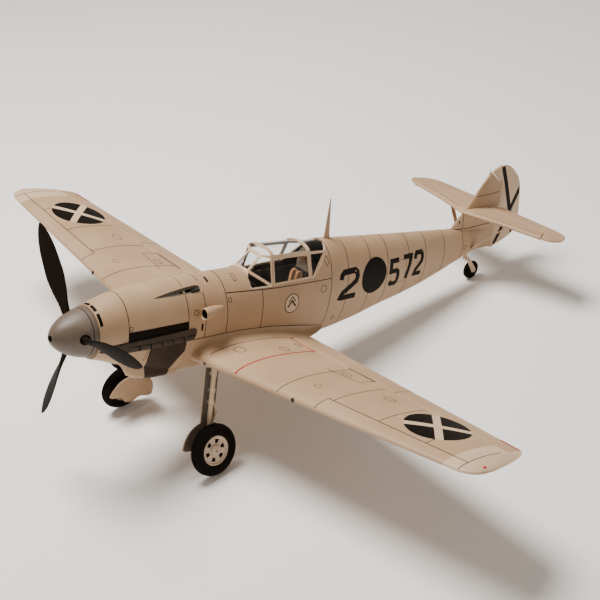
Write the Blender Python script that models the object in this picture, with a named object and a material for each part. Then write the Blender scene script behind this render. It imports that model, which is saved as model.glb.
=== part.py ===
"""RC warbird plane, about 1.2 m span: a low-wing tail-dragger with a three-blade propeller.

The model is laid out level, in millimetres from the spinner tip: +x to port, +y aft, +z up.
The empty level_frame then tips it nose up, so that it stands on its three wheels.
"""

import math

import bmesh
import bpy
import numpy as np
from mathutils import Matrix, Vector

MM = 0.001
GAP = 0.35  # clearance between separate pieces

# Stance of the level layout on the ground.
NOSE_UP = math.radians(14.0)
STANCE = (0.0, -534.62, 292.61)

# Hull stations: y, top, bottom, half width, height of the widest line.
HULL = [
    (62.5, 42.0, -43.0, 41.5, 0.0), (85.0, 49.5, -51.0, 43.5, 0.0),
    (112.5, 56.5, -62.0, 46.0, -2.0), (150.0, 60.0, -76.0, 48.0, -5.0),
    (188.0, 62.0, -90.0, 49.0, -8.0), (226.0, 63.0, -99.5, 50.0, -10.0),
    (261.0, 62.0, -99.5, 50.5, -10.0), (305.0, 61.0, -99.0, 51.0, -10.0),
    (354.0, 60.0, -98.0, 51.0, -8.0), (430.0, 80.0, -96.5, 51.0, -5.0),
    (500.0, 86.0, -93.5, 50.0, 0.0), (541.0, 86.5, -90.5, 48.5, 4.0),
    (581.0, 82.5, -86.0, 46.0, 5.0), (640.0, 77.0, -76.5, 42.5, 5.0),
    (687.5, 73.0, -66.0, 38.5, 6.0), (747.5, 68.0, -55.5, 33.5, 8.0),
    (797.5, 64.0, -45.0, 29.0, 9.0), (854.0, 59.5, -29.5, 23.5, 13.0),
    (912.5, 55.5, -11.5, 17.0, 19.0), (970.0, 52.5, 4.0, 11.0, 26.0),
    (1011.0, 50.5, 3.5, 5.0, 27.0),
]
HULL_POINTS = 26
UPPER_POWER, LOWER_POWER = 2.0, 2.25
HULL_WALL = 4.0
COWL_FRONT, COWL_REAR = 62.5, 226.0
HULL_HOLLOW_END = 860.0

# Spinner, propeller and motor, all on the thrust line.
SPINNER = [(-1.5, 2.2), (-0.2, 7.0), (4.0, 14.0), (12.0, 22.0), (25.0, 30.0), (39.0, 35.8), (50.0, 38.9),
           (58.5, 40.5)]
SPINNER_WALL = 1.6
PROP_Y, PROP_RADIUS, PROP_PITCH, PROP_TURN = 39.0, 181.0, 330.0, math.radians(8.0)
BLADE = [(9, 13, 11), (32, 13, 11), (47, 15, 8.5), (72, 25, 5.5), (102, 33, 4.2), (132, 32, 3.4),
         (157, 25, 2.6), (173, 14, 2.0), (PROP_RADIUS, 4, 1.4)]  # radius, chord, thickness

# Wing: planform lines, dihedral and section.
LE_Y, LE_SWEEP = 237.5, 0.085
TE_Y, TE_SWEEP = 496.0, -0.12
LE_Z, DIHEDRAL = -65.6, 0.0998
HINGE_Y, HINGE_SWEEP = 443.0, -0.08
WASH = 6.0  # drop of the trailing edge below the leading edge
CAMBER = 0.02
FLAP_X, AILERON_X, WING_END = (76.0, 338.0), (340.0, 582.0), 583.0
TIP = [(583.0, 0.0, 0.0, 1.0), (592.0, 2.5, 9.0, 0.9), (602.0, 8.0, 32.0, 0.68),
       (608.5, 17.0, 58.0, 0.42), (612.0, 32.0, 82.0, 0.14)]  # x, front inset, rear inset, thickness

# Tail.
STAB_Z, STAB_HINGE_Y = 87.5, 981.0
STAB_LE = [(0.0, 911.0), (15.0, 915.0), (80.0, 934.0), (150.0, 947.0), (163.0, 950.5), (180.0, 957.0),
           (188.0, 966.0), (191.0, 978.0)]
STAB_TE = [(0.0, 1019.0), (130.0, 1019.0), (163.0, 1016.0), (180.0, 1005.0), (188.0, 993.0), (191.0, 982.0)]
STAB_HALF = [(0.0, 6.6), (80.0, 5.6), (163.0, 4.0), (191.0, 1.6)]
HORN_X = (150.0, 163.0)
RUDDER_Y = 1016.0
RUDDER_TE = [(3.5, 1026.0), (10.0, 1047.0), (24.0, 1077.0), (60.0, 1087.5), (92.0, 1082.0), (119.0, 1076.0),
             (140.0, 1067.0), (160.0, 1046.0), (169.0, 1032.0), (172.4, 1020.0)]
FIN_LE = [(40.0, 872.0), (61.5, 891.0), (104.0, 931.0), (137.5, 956.5), (160.0, 976.6)]
FIN_HALF = [(40.0, 6.4), (104.0, 5.4), (172.4, 3.0)]
FIN_HORN = [(138.0, RUDDER_Y), (163.0, 981.5)]

# Undercarriage (port side; starboard is its mirror).
LEG_TOP = Vector((80.0, 264.0, -57.0))
LEG_FOOT = Vector((109.0, 243.5, -196.5))
AXLE = Vector((0.990, 0.0, 0.141))
LEG_RETRACTED = Vector((0.880, 0.470, -0.045))
WHEEL_RADIUS, WHEEL_HALF, RIM_RADIUS = 44.0, 8.75, 25.5
WHEEL_OFFSET = 17.5
DOOR_RADIUS, DOOR_DROP = 45.5, 4.0
TAIL_WHEEL = Vector((0.0, 972.0, -40.0))
TAIL_WHEEL_RADIUS, TAIL_WHEEL_HALF = 18.7, 5.5

# Canopy: y, half width of sill and rail, height of rail and crown, and how full the roof curve is.
CANOPY = [(403.5, 44.0, 31.0, 83.0, 94.5, 0.85), (490.0, 44.6, 29.6, 78.0, 91.0, 1.0),
          (531.0, 44.8, 26.3, 73.5, 87.2, 1.3), (545.0, 44.8, 25.5, 72.0, 86.6, 1.35)]
DECK_END, SCREEN_REAR = 359.0, 403.0
HOOD = (404.0, 490.0)
REAR_FOOT, REAR_LEAN = 496.0, 0.93
SILL_Z = 35.5


def interp(table, at, column=1):
    return float(np.interp(at, [row[0] for row in table], [row[column] for row in table]))


# ---------------------------------------------------------------- scene and mesh helpers
for old in list(bpy.data.objects):
    bpy.data.objects.remove(old, do_unlink=True)

MATERIALS = {}


def material(name, colour, roughness=0.5, metallic=0.0, transmission=0.0):
    made = bpy.data.materials.new(name)
    made.use_nodes = True
    shader = made.node_tree.nodes["Principled BSDF"]
    shader.inputs["Base Color"].default_value = (*colour, 1.0)
    shader.inputs["Roughness"].default_value = roughness
    shader.inputs["Metallic"].default_value = metallic
    shader.inputs["Transmission Weight"].default_value = transmission
    MATERIALS[name] = made


material("painted_foam", (0.60, 0.55, 0.48), 0.5)
material("spinner_paint", (0.20, 0.18, 0.16), 0.4, 0.3)
material("blade_plastic", (0.03, 0.025, 0.02), 0.35)
material("exhaust_plastic", (0.09, 0.07, 0.06), 0.6)
material("clear_canopy", (0.85, 0.88, 0.90), 0.08, 0.0, 0.85)
material("cockpit_plastic", (0.10, 0.10, 0.10), 0.6)
material("tyre_rubber", (0.02, 0.02, 0.02), 0.8)
material("hub_plastic", (0.55, 0.50, 0.44), 0.45)
material("steel", (0.55, 0.55, 0.56), 0.3, 1.0)
material("aluminium", (0.70, 0.70, 0.72), 0.35, 1.0)
material("plywood", (0.55, 0.38, 0.20), 0.7)
material("servo_plastic", (0.03, 0.05, 0.10), 0.45)
material("battery_wrap", (0.05, 0.12, 0.30), 0.4)
material("electronics_wrap", (0.02, 0.02, 0.02), 0.4)

LEVEL = bpy.data.objects.new("level_frame", None)
bpy.context.scene.collection.objects.link(LEVEL)
LEVEL.rotation_euler = (-NOSE_UP, 0.0, 0.0)
LEVEL.location = [c * MM for c in STANCE]


def solid(name, points, faces, slot, origin=(0.0, 0.0, 0.0)):
    """One named closed mesh, its origin at the given level point."""
    origin = Vector(origin)
    mesh = bpy.data.meshes.new(name)
    mesh.from_pydata([(Vector(p) - origin) * MM for p in points], [], faces)
    work = bmesh.new()
    work.from_mesh(mesh)
    bmesh.ops.remove_doubles(work, verts=work.verts, dist=1e-7)
    bmesh.ops.recalc_face_normals(work, faces=work.faces)
    work.to_mesh(mesh)
    work.free()
    mesh.materials.append(MATERIALS[slot])
    made = bpy.data.objects.new(name, mesh)
    bpy.context.scene.collection.objects.link(made)
    made.parent = LEVEL
    made.location = origin * MM
    return made


def loft(name, rings, slot, origin=(0.0, 0.0, 0.0)):
    """Skin over rings of equal count, with both ends capped."""
    count = len(rings[0])
    points = [p for ring in rings for p in ring]
    faces = [tuple(range(count)), tuple(range(len(points) - count, len(points)))]
    for i in range(len(rings) - 1):
        for j in range(count):
            k = (j + 1) % count
            faces.append((i * count + j, i * count + k, (i + 1) * count + k, (i + 1) * count + j))
    return solid(name, points, faces, slot, origin)


def frame_of(axis):
    axis = Vector(axis).normalized()
    side = axis.cross(Vector((0.0, 0.0, 1.0)))
    if side.length < 1e-3:
        side = axis.cross(Vector((0.0, 1.0, 0.0)))
    side.normalize()
    return axis, side, axis.cross(side)


def lathe(name, start, axis, profile, slot, origin=None, count=20, closed=False):
    """Turned solid: profile rows are (distance along the axis, radius)."""
    axis, u, v = frame_of(axis)
    start = Vector(start)
    rings = [[start + axis * s + (u * math.cos(a) + v * math.sin(a)) * max(r, 0.0)
              for a in [2 * math.pi * k / count for k in range(count)]] for s, r in profile]
    if not closed:
        return loft(name, rings, slot, origin or start)
    points = [p for ring in rings for p in ring]
    faces = []
    for i in range(len(rings)):
        for j in range(count):
            k, m = (j + 1) % count, (i + 1) % len(rings)
            faces.append((i * count + j, i * count + k, m * count + k, m * count + j))
    return solid(name, points, faces, slot, origin or start)


def rod(name, start, end, radius, slot, origin=None, count=10):
    start, end = Vector(start), Vector(end)
    return lathe(name, start, end - start, [(0, radius), ((end - start).length, radius)], slot, origin, count)


def prism(name, polygon, shift, slot, origin=(0.0, 0.0, 0.0)):
    """Flat polygon of 3-D points extruded by the vector shift."""
    shift = Vector(shift)
    return loft(name, [[Vector(p) for p in polygon], [Vector(p) + shift for p in polygon]], slot, origin)


def box(name, low, high, slot, origin=(0.0, 0.0, 0.0)):
    (x0, y0, z0), (x1, y1, z1) = low, high
    return prism(name, [(x0, y0, z0), (x1, y0, z0), (x1, y1, z0), (x0, y1, z0)], (0, 0, z1 - z0), slot, origin)


def carve(target, tools, operation="DIFFERENCE"):
    """Exact Boolean of target with each tool in turn; the tools are used up."""
    for tool in tools:
        modifier = target.modifiers.new("cut", "BOOLEAN")
        modifier.solver, modifier.operation, modifier.object = "EXACT", operation, tool
        bpy.context.view_layer.update()
        graph = bpy.context.evaluated_depsgraph_get()
        made = bpy.data.meshes.new_from_object(target.evaluated_get(graph))
        target.modifiers.clear()
        slot = target.data.materials[0]
        made.materials.clear()
        made.materials.append(slot)
        for face in made.polygons:
            face.material_index = 0
        target.data = made
        bpy.data.objects.remove(tool, do_unlink=True)
    return target


def tidy(target, angle=0.5):
    """Flat neighbouring triangles left by a Boolean are merged again."""
    work = bmesh.new()
    work.from_mesh(target.data)
    bmesh.ops.dissolve_limit(work, angle_limit=math.radians(angle), verts=work.verts, edges=work.edges)
    bmesh.ops.triangulate(work, faces=work.faces)
    work.to_mesh(target.data)
    work.free()
    return target


def mirror(point):
    return Vector((-point[0], point[1], point[2]))


def sided(point, side):
    return Vector((point[0] * side, point[1], point[2]))


SIDES = (("left", 1), ("right", -1))


# ---------------------------------------------------------------- hull
def hull_ring(y, grow=0.0, count=HULL_POINTS):
    top, bottom, width, middle = (interp(HULL, y, k) for k in (1, 2, 3, 4))
    ring = []
    for k in range(count):
        c, s = math.cos(2 * math.pi * k / count), math.sin(2 * math.pi * k / count)
        power = 2.0 / (UPPER_POWER if s >= 0 else LOWER_POWER)
        reach = (top - middle if s >= 0 else middle - bottom) + grow
        ring.append(Vector((math.copysign(abs(c) ** power, c) * (width + grow), y,
                            middle + math.copysign(abs(s) ** power, s) * reach)))
    return ring


def hull_side(y, z, grow=0.0):
    """Half width of the hull at one height."""
    top, bottom, width, middle = (interp(HULL, y, k) for k in (1, 2, 3, 4))
    power, reach = (UPPER_POWER, top - middle) if z >= middle else (LOWER_POWER, middle - bottom)
    part = min(abs(z - middle) / (reach + grow), 1.0)
    return (width + grow) * (1.0 - part ** power) ** (1.0 / power)


def hull_plug(name, y0, y1, grow=GAP):
    ys = [y0] + [row[0] for row in HULL if y0 < row[0] < y1] + [y1]
    return loft(name, [hull_ring(y, grow) for y in ys], "painted_foam")


def hull_shell(name, y0, y1, inner_end=None):
    """Hollow length of hull, open at the front, and at the back unless inner_end is given."""
    last = inner_end or y1
    inner = [y for y in [row[0] for row in HULL] if y0 < y < last]
    outer = [y for y in [row[0] for row in HULL] if y0 < y < y1]
    rings = [hull_ring(y, -HULL_WALL) for y in [last] + inner[::-1] + [y0]]
    rings += [hull_ring(y) for y in [y0] + outer + [y1]]
    if inner_end:
        return loft(name, rings, "painted_foam")
    points = [p for ring in rings for p in ring]
    faces = []
    for i in range(len(rings)):
        for j in range(HULL_POINTS):
            k, m = (j + 1) % HULL_POINTS, (i + 1) % len(rings)
            a, b = i * HULL_POINTS, m * HULL_POINTS
            faces.append((a + j, a + k, b + k, b + j))
    return solid(name, points, faces, "painted_foam")


def fin_ring(z, front, back, half):
    """Section of the fin at one height, rounded at the front and blunt at the back."""
    depth = back - front
    rows = [(0.0, 0.0), (0.04, 0.45), (0.16, 0.85), (0.4, 1.0), (0.75, 0.9), (1.0, 0.78)]
    ring = [Vector((half * w, front + depth * s, z)) for s, w in rows]
    return ring + [Vector((-p.x, p.y, p.z)) for p in ring[:0:-1]]


def make_fin(grow=0.0):
    rings = []
    for z in (40.0, 61.5, 85.0, 104.0, 125.0, 137.5, 150.0, 160.5):
        back = min(RUDDER_Y - 4.8, interp(FIN_HORN, z) - 6.2 if z > 138.0 else RUDDER_Y)
        rings.append(fin_ring(z, interp(FIN_LE, z), max(back, interp(FIN_LE, z) + 2.0), interp(FIN_HALF, z)))
    return loft("fin", rings, "painted_foam")


# ---------------------------------------------------------------- wing surfaces
def wing_line(x):
    """Front, back and thickness factor of the section at a span station."""
    x = abs(x)
    front, back, thick = LE_Y + LE_SWEEP * x, TE_Y + TE_SWEEP * x, 1.0
    if x > WING_END:
        front += interp(TIP, x, 1)
        back -= interp(TIP, x, 2)
        thick = interp(TIP, x, 3)
    return front, back, thick


def wing_heights(x, y):
    """Lower and upper surface of the wing."""
    front, back, thick = wing_line(x)
    full_front, full_back = LE_Y + LE_SWEEP * abs(x), TE_Y + TE_SWEEP * abs(x)
    chord, part = full_back - full_front, min(max((y - front) / (back - front), 0.0), 1.0)
    ratio = 0.146 - 0.036 * min(abs(x) / WING_END, 1.0)
    half = 5 * ratio * chord * thick * (0.2969 * math.sqrt(part) - 0.126 * part - 0.3516 * part ** 2
                                       + 0.2843 * part ** 3 - 0.1015 * part ** 4) + 0.15
    whole = (y - full_front) / chord
    middle = LE_Z + DIHEDRAL * abs(x) - WASH * whole + CAMBER * chord * 4 * whole * (1 - whole)
    return middle - half, middle + half


WING_PARTS = [0.0, 0.006, 0.025, 0.07, 0.16, 0.3, 0.45, 0.62, 0.8, 1.0]


def wing_ring(x, side):
    front, back, _ = wing_line(x)
    rows = [front + (back - front) * s for s in WING_PARTS]
    ring = [Vector((x * side, y, wing_heights(x, y)[1])) for y in rows]
    ring[0].z -= 0.15
    return ring + [Vector((x * side, y, wing_heights(x, y)[0])) for y in rows[:0:-1]]


def hinge(x, side=1):
    y = HINGE_Y + HINGE_SWEEP * x
    low, high = wing_heights(x, y)
    return Vector((x * side, y, (low + high) / 2)), (high - low) / 2 - 0.2


def surface_ring(x, side):
    """Section of a flap or aileron: round nose on the hinge line, wing surfaces behind."""
    centre, radius = hinge(x, side)
    back = wing_line(x)[1]
    ring = []
    for step in range(7):
        a = math.pi / 2 + math.pi * step / 6
        ring.append(Vector((x * side, centre.y + radius * math.cos(a), centre.z + radius * math.sin(a))))
    ys = [centre.y + (back - centre.y) * s for s in (0.35, 0.7, 1.0)]
    lower = [Vector((x * side, y, wing_heights(x, y)[0] + 0.1)) for y in ys]
    upper = [Vector((x * side, y, wing_heights(x, y)[1] - 0.1)) for y in ys]
    lower[-1].z, upper[-1].z = lower[-1].z - 0.05, upper[-1].z + 0.05
    return ring + lower + upper[::-1]


def spar_ring(x, grow=0.0, side=1):
    z = LE_Z + DIHEDRAL * abs(x) + 4.0
    y = 385.0
    half_y, half_z = 5.0 + grow, 4.0 + grow
    return [Vector((x * side, y - half_y, z - half_z)), Vector((x * side, y + half_y, z - half_z)),
            Vector((x * side, y + half_y, z + half_z)), Vector((x * side, y - half_y, z + half_z))]


SPAR_END = 250.0


def spar(name, grow=0.0):
    end = SPAR_END + grow
    return loft(name, [spar_ring(end, grow, -1), spar_ring(0.0, grow), spar_ring(end, grow)], "aluminium")


# ---------------------------------------------------------------- undercarriage geometry
LEG_LINE = (LEG_FOOT - LEG_TOP).normalized()
AXLE = (AXLE - LEG_LINE * AXLE.dot(LEG_LINE)).normalized()
WHEEL_CENTRE = LEG_FOOT + AXLE * WHEEL_OFFSET
UP_LINE = LEG_RETRACTED.normalized()
UP_AXLE = (Vector((0.0, 0.0, 1.0)) - UP_LINE * UP_LINE.z).normalized()


def basis(line, axle):
    return Matrix((line, axle, line.cross(axle))).transposed()


RETRACT = basis(UP_LINE, UP_AXLE) @ basis(LEG_LINE, AXLE).transposed()


def leg_point(along, out, across, retracted=False, side=1):
    """Point given along the leg, outboard of it and across it, down or retracted."""
    line, axle = (UP_LINE, UP_AXLE) if retracted else (LEG_LINE, AXLE)
    return sided(LEG_TOP + line * along + axle * out + line.cross(axle) * across, side)


LEG_LENGTH = (LEG_FOOT - LEG_TOP).length


def door_outline(out, side):
    """Leg cover widening to a half disc over the upper half of the wheel."""
    points = [leg_point(12, out, -14, side=side), leg_point(12, out, 14, side=side)]
    start = math.asin(14 / DOOR_RADIUS)
    for k in range(9):
        a = start + (math.pi / 2 - start) * k / 8
        points.append(leg_point(LEG_LENGTH + DOOR_DROP - DOOR_RADIUS * math.cos(a), out, DOOR_RADIUS * math.sin(a),
                                side=side))
    for across, along in ((18, 5), (14, 12), (6, 17), (-6, 17), (-14, 12), (-18, 5)):
        points.append(leg_point(LEG_LENGTH + along, out, across, side=side))
    for k in range(9):
        a = math.pi / 2 - (math.pi / 2 - start) * k / 8
        points.append(leg_point(LEG_LENGTH + DOOR_DROP - DOOR_RADIUS * math.cos(a), out, -DOOR_RADIUS * math.sin(a),
                                side=side))
    return points


# ---------------------------------------------------------------- power train
spinner_outer = [(s, r) for s, r in SPINNER]
spinner_inner = [(s, r - SPINNER_WALL) for s, r in SPINNER[::-1] if r > 8.0] + [(6.0, 3.0)]
spinner = loft("spinner", [[Vector((math.cos(a) * r, s, math.sin(a) * r))
                            for a in [2 * math.pi * k / 24 for k in range(24)]]
                           for s, r in spinner_outer + spinner_inner], "spinner_paint")
carve(spinner, [lathe("cut", (0, PROP_Y, 0), (math.cos(a), 0, math.sin(a)), [(18, 8.7), (56, 8.7)], "steel",
                      count=13)
                for a in [PROP_TURN + 2 * math.pi * k / 3 for k in range(3)]])
lathe("spinner_backplate", (0, 56.0, 0), (0, 1, 0),
      [(-10, 3.0), (-10, 8.0), (0.0, 8.0), (0.0, 37.5), (2.9, 37.5), (2.9, 40.4), (5.6, 40.4), (5.6, 3.0)],
      "aluminium", count=24, closed=True)
lathe("prop_nut", (0, 24.0, 0), (0, 1, 0), [(0, 3.6), (0.6, 6.0), (8.4, 6.0), (8.4, 3.6)], "steel", count=6,
      closed=True)

blades = []
for number in range(3):
    turn = PROP_TURN + 2 * math.pi * number / 3
    out = Vector((math.cos(turn), 0, math.sin(turn)))
    ahead = Vector((-math.sin(turn), 0, math.cos(turn)))
    rings = []
    for radius, chord, thickness in BLADE:
        pitch = min(math.atan(PROP_PITCH / (2 * math.pi * radius)), 1.0)
        lead = ahead * math.cos(pitch) + Vector((0, -1, 0)) * math.sin(pitch)
        lift = out.cross(lead)
        ring = []
        for step in range(12):
            a = 2 * math.pi * step / 12
            ring.append(Vector((0, PROP_Y, 0)) + out * radius + lead * (chord / 2 * math.cos(a))
                        + lift * (thickness / 2 * math.sin(a)))
        rings.append(ring)
    blades.append(loft("blade", rings, "blade_plastic"))
propeller = lathe("propeller", (0, PROP_Y, 0), (0, 1, 0), [(-6.2, 14), (6.6, 14)], "blade_plastic",
                  origin=(0, PROP_Y, 0), count=24)
carve(propeller, blades, "UNION")
carve(propeller, [rod("cut", (0, 20, 0), (0, 60, 0), 3.0, "steel")])

BELL = (88.0, 136.0)
lathe("motor_bell", (0, 0, 0), (0, 1, 0),
      [(23.0, 2.6), (64.0, 2.6), (64.0, 9.0), (BELL[0] - 2, 9.0), (BELL[0], 20.5), (BELL[1], 21.0),
       (BELL[1], 18.4),
       (BELL[0] + 4, 18.4), (BELL[0] + 4, 4.0), (BELL[0] + 6, 2.6), (BELL[1] - 4, 2.6)], "aluminium",
      origin=(0, 112, 0), count=24)
stator = lathe("motor_stator", (0, 0, 0), (0, 1, 0),
               [(BELL[0] + 9, 3.2), (BELL[0] + 9, 17.8), (BELL[1] - 5, 17.8), (BELL[1] - 5, 14.0),
                (BELL[1] + 3, 14.0), (BELL[1] + 3, 26.0), (BELL[1] + 6, 26.0), (BELL[1] + 6, 3.2)],
               "steel", origin=(0, 130, 0), count=20, closed=True)
carve(stator, [rod("post", (21 * c, BELL[1] + 4, 21 * s), (21 * c, COWL_REAR + 0.6, 21 * s), 3.5, "steel", count=8)
               for c, s in ((0.7, 0.7), (-0.7, 0.7), (-0.7, -0.7), (0.7, -0.7))], "UNION")

# ---------------------------------------------------------------- cowl, firewall and fuselage
cowl = hull_shell("engine_cowl", COWL_FRONT, COWL_REAR)
chin = loft("chin", [[Vector((w * x, y, b + (t - b) * h)) for x, h in
                      ((-1, 1), (-1, 0.35), (-0.8, 0.1), (-0.45, 0), (0.45, 0), (0.8, 0.1), (1, 0.35), (1, 1))]
                     for y, w, t, b in ((120, 24, -52, -62), (134, 26.5, -54, -84), (150, 28.5, -56, -92.5),
                                        (178, 30, -60, -97.5), (COWL_REAR - 0.4, 31, -60, -99.6))], "painted_foam")
carve(cowl, [chin], "UNION")
carve(cowl, [loft("cut", [[Vector((20 * x, 96 + 30 * h, -62 - 27 * h)) for x, h in
                           ((-1, 0.25), (-0.8, 0.02), (0.8, 0.02), (1, 0.25), (0.85, 0.8), (0.4, 1), (-0.4, 1),
                            (-0.85, 0.8))],
                          [Vector((19 * x, 160, -64 - 25 * h)) for x, h in
                           ((-1, 0.25), (-0.8, 0.02), (0.8, 0.02), (1, 0.25), (0.85, 0.8), (0.4, 1), (-0.4, 1),
                            (-0.85, 0.8))]], "steel")])

FIREWALL = (COWL_REAR + 0.9, COWL_REAR + 4.9)
firewall = loft("firewall", [hull_ring(y, -HULL_WALL - GAP) for y in FIREWALL], "plywood")
carve(firewall, [rod("cut", (0, 220, -40), (0, 236, -40), 8, "steel")])

fuselage = hull_shell("fuselage", COWL_REAR + 0.5, 1011.0, HULL_HOLLOW_END)
carve(fuselage, [make_fin()], "UNION")
trough_line = [(165.0, 43.5, 1.0), (200.0, 45.5, 4.0), (240.0, 47.5, 6.0), (262.0, 48.5, 6.5)]
for name, side in SIDES:
    for shell in (cowl, fuselage):
        carve(shell, [loft("cut", [[Vector((26 * side + 3 * side + r * math.cos(a), y, z + 5.5 + r * math.sin(a)))
                                    for a in [2 * math.pi * k / 10 for k in range(10)]]
                                   for y, z, r in trough_line], "steel")])
carve(fuselage, [
    prism("cut", [(-60, DECK_END, SILL_Z), (-60, REAR_FOOT, SILL_Z),
                  (-60, REAR_FOOT + (120 - SILL_Z) * REAR_LEAN, 120), (-60, DECK_END, 120)], (120, 0, 0), "steel"),
    box("cut", (-20, 244, -120), (20, 352, -80), "steel"),
    spar("cut", 0.35),
])

hatch = hull_shell("battery_hatch", 244.0 + GAP, 352.0 - GAP)
keep = box("keep", (-20 + GAP, 240, -120), (20 - GAP, 356, -80), "steel")
carve(hatch, [keep], "INTERSECT")


# ---------------------------------------------------------------- tail surfaces
def stab_ring(x, front, back, half, round_back=False):
    rows = [(0.0, 0.0), (0.05, 0.5), (0.2, 0.88), (0.45, 1.0), (0.75, 0.95), (1.0, 0.85)]
    ring = [Vector((x, front + (back - front) * s, STAB_Z + half * h)) for s, h in rows]
    return ring + [Vector((x, p.y, 2 * STAB_Z - p.z)) for p in ring[:0:-1]]


def stab_half(x):
    return interp(STAB_HALF, abs(x))


def stab_rear(x):
    x = abs(x)
    rear = STAB_HINGE_Y - stab_half(x) * 0.85 - 0.8
    if x > HORN_X[0]:
        share = min((x - HORN_X[0]) / (HORN_X[1] - HORN_X[0]), 1.0)
        rear += (interp(STAB_LE, HORN_X[1]) + 1.0 - rear) * share
    return rear


def make_stab(name, grow=0.0, reach=163.0):
    stations = [x for x in (0.0, 16.0, 80.0, 150.0, 157.0, 163.0) if x <= reach]
    rings = [stab_ring(x, interp(STAB_LE, abs(x)) - grow, stab_rear(x) + grow, stab_half(x) + grow)
             for x in [-x for x in stations[:0:-1]] + stations]
    return loft(name, rings, "painted_foam")


make_stab("tailplane")
carve(fuselage, [make_stab("cut", GAP, 80.0),
                 rod("cut", (-14, STAB_HINGE_Y, STAB_Z), (14, STAB_HINGE_Y, STAB_Z), 2.7, "steel")])


def elevator_ring(x):
    side, x = (1 if x > 0 else -1), abs(x)
    half = stab_half(x) * 0.85
    nose = STAB_HINGE_Y - half
    if x > HORN_X[0]:
        nose = max(stab_rear(x) + 1.3 + (x - HORN_X[0]) * 0.05, interp(STAB_LE, x))
    back = interp(STAB_TE, x)
    depth = back - nose
    rows = [(0.0, 0.0), (0.25 * half / depth, 0.62), (min(half / depth, 0.45), 1.0), (0.6, 0.62), (1.0, 0.09)]
    ring = [Vector((x * side, nose + depth * s, STAB_Z + half * h)) for s, h in rows]
    return ring + [Vector((p.x, p.y, 2 * STAB_Z - p.z)) for p in ring[:0:-1]]


ELEVATOR_X = (11.0, 80.0, 150.0, 157.0, 163.5, 176.0, 187.0, 190.5)
halves = [loft("half", [elevator_ring(x * side) for x in ELEVATOR_X], "painted_foam", (0, STAB_HINGE_Y, STAB_Z))
          for _, side in SIDES]
elevator = rod("elevator", (-16, STAB_HINGE_Y, STAB_Z), (16, STAB_HINGE_Y, STAB_Z), 2.0, "painted_foam",
               origin=(0, STAB_HINGE_Y, STAB_Z))
carve(elevator, halves, "UNION")


def rudder_ring(z):
    half = interp(FIN_HALF, z) * 0.74
    nose = RUDDER_Y - half
    if z > 138.0:
        nose = interp(FIN_HORN, min(z, 163.0)) - half * 0.9
    if z > 163.0:
        nose = interp([(163.0, nose), (172.4, 1002.0)], z)
    back = interp(RUDDER_TE, z)
    depth = back - nose
    half = min(half, depth * 0.3)
    rows = [(0.0, 0.0), (0.3 * half / depth, 0.7), (min(1.0 * half / depth, 0.4), 1.0), (0.6, 0.6), (1.0, 0.1)]
    ring = [Vector((half * h, nose + depth * s, z)) for s, h in rows]
    return ring + [Vector((-p.x, p.y, p.z)) for p in ring[:0:-1]]


RUDDER_Z = (3.5, 10.0, 24.0, 60.0, 92.0, 119.0, 137.5, 140.0, 151.0, 162.0, 169.0, 172.4)
loft("rudder", [rudder_ring(z) for z in RUDDER_Z], "painted_foam", (0, RUDDER_Y, 60))

for name, side in SIDES:
    low, high = Vector((11.8, 944, 11.5)), Vector((77, 966, STAB_Z - 7.0))
    rings = []
    for point, width, depth in ((low, 1.6, 5.5), (low.lerp(high, 0.5), 1.6, 5.5), (high, 1.3, 5.0)):
        rings.append([sided(point + Vector((width * math.cos(a) * 0.6, depth * math.sin(a), width * math.cos(a))),
                            side)
                      for a in [2 * math.pi * k / 8 for k in range(8)]])
    strut = loft("tailplane_strut_" + name, rings, "painted_foam")
    carve(strut, [hull_plug("cut", 900, 1000)])

mast_base = interp(HULL, 556) + 0.3
loft("antenna_mast", [[Vector((w * math.cos(a), 556.0 - (z - mast_base) * 0.05 + d * math.sin(a), z))
                       for a in [2 * math.pi * k / 10 for k in range(10)]]
                      for z, w, d in ((mast_base, 2.4, 8.0), (mast_base + 8, 1.9, 6.0), (158.5, 0.6, 1.1))],
     "painted_foam")

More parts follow.
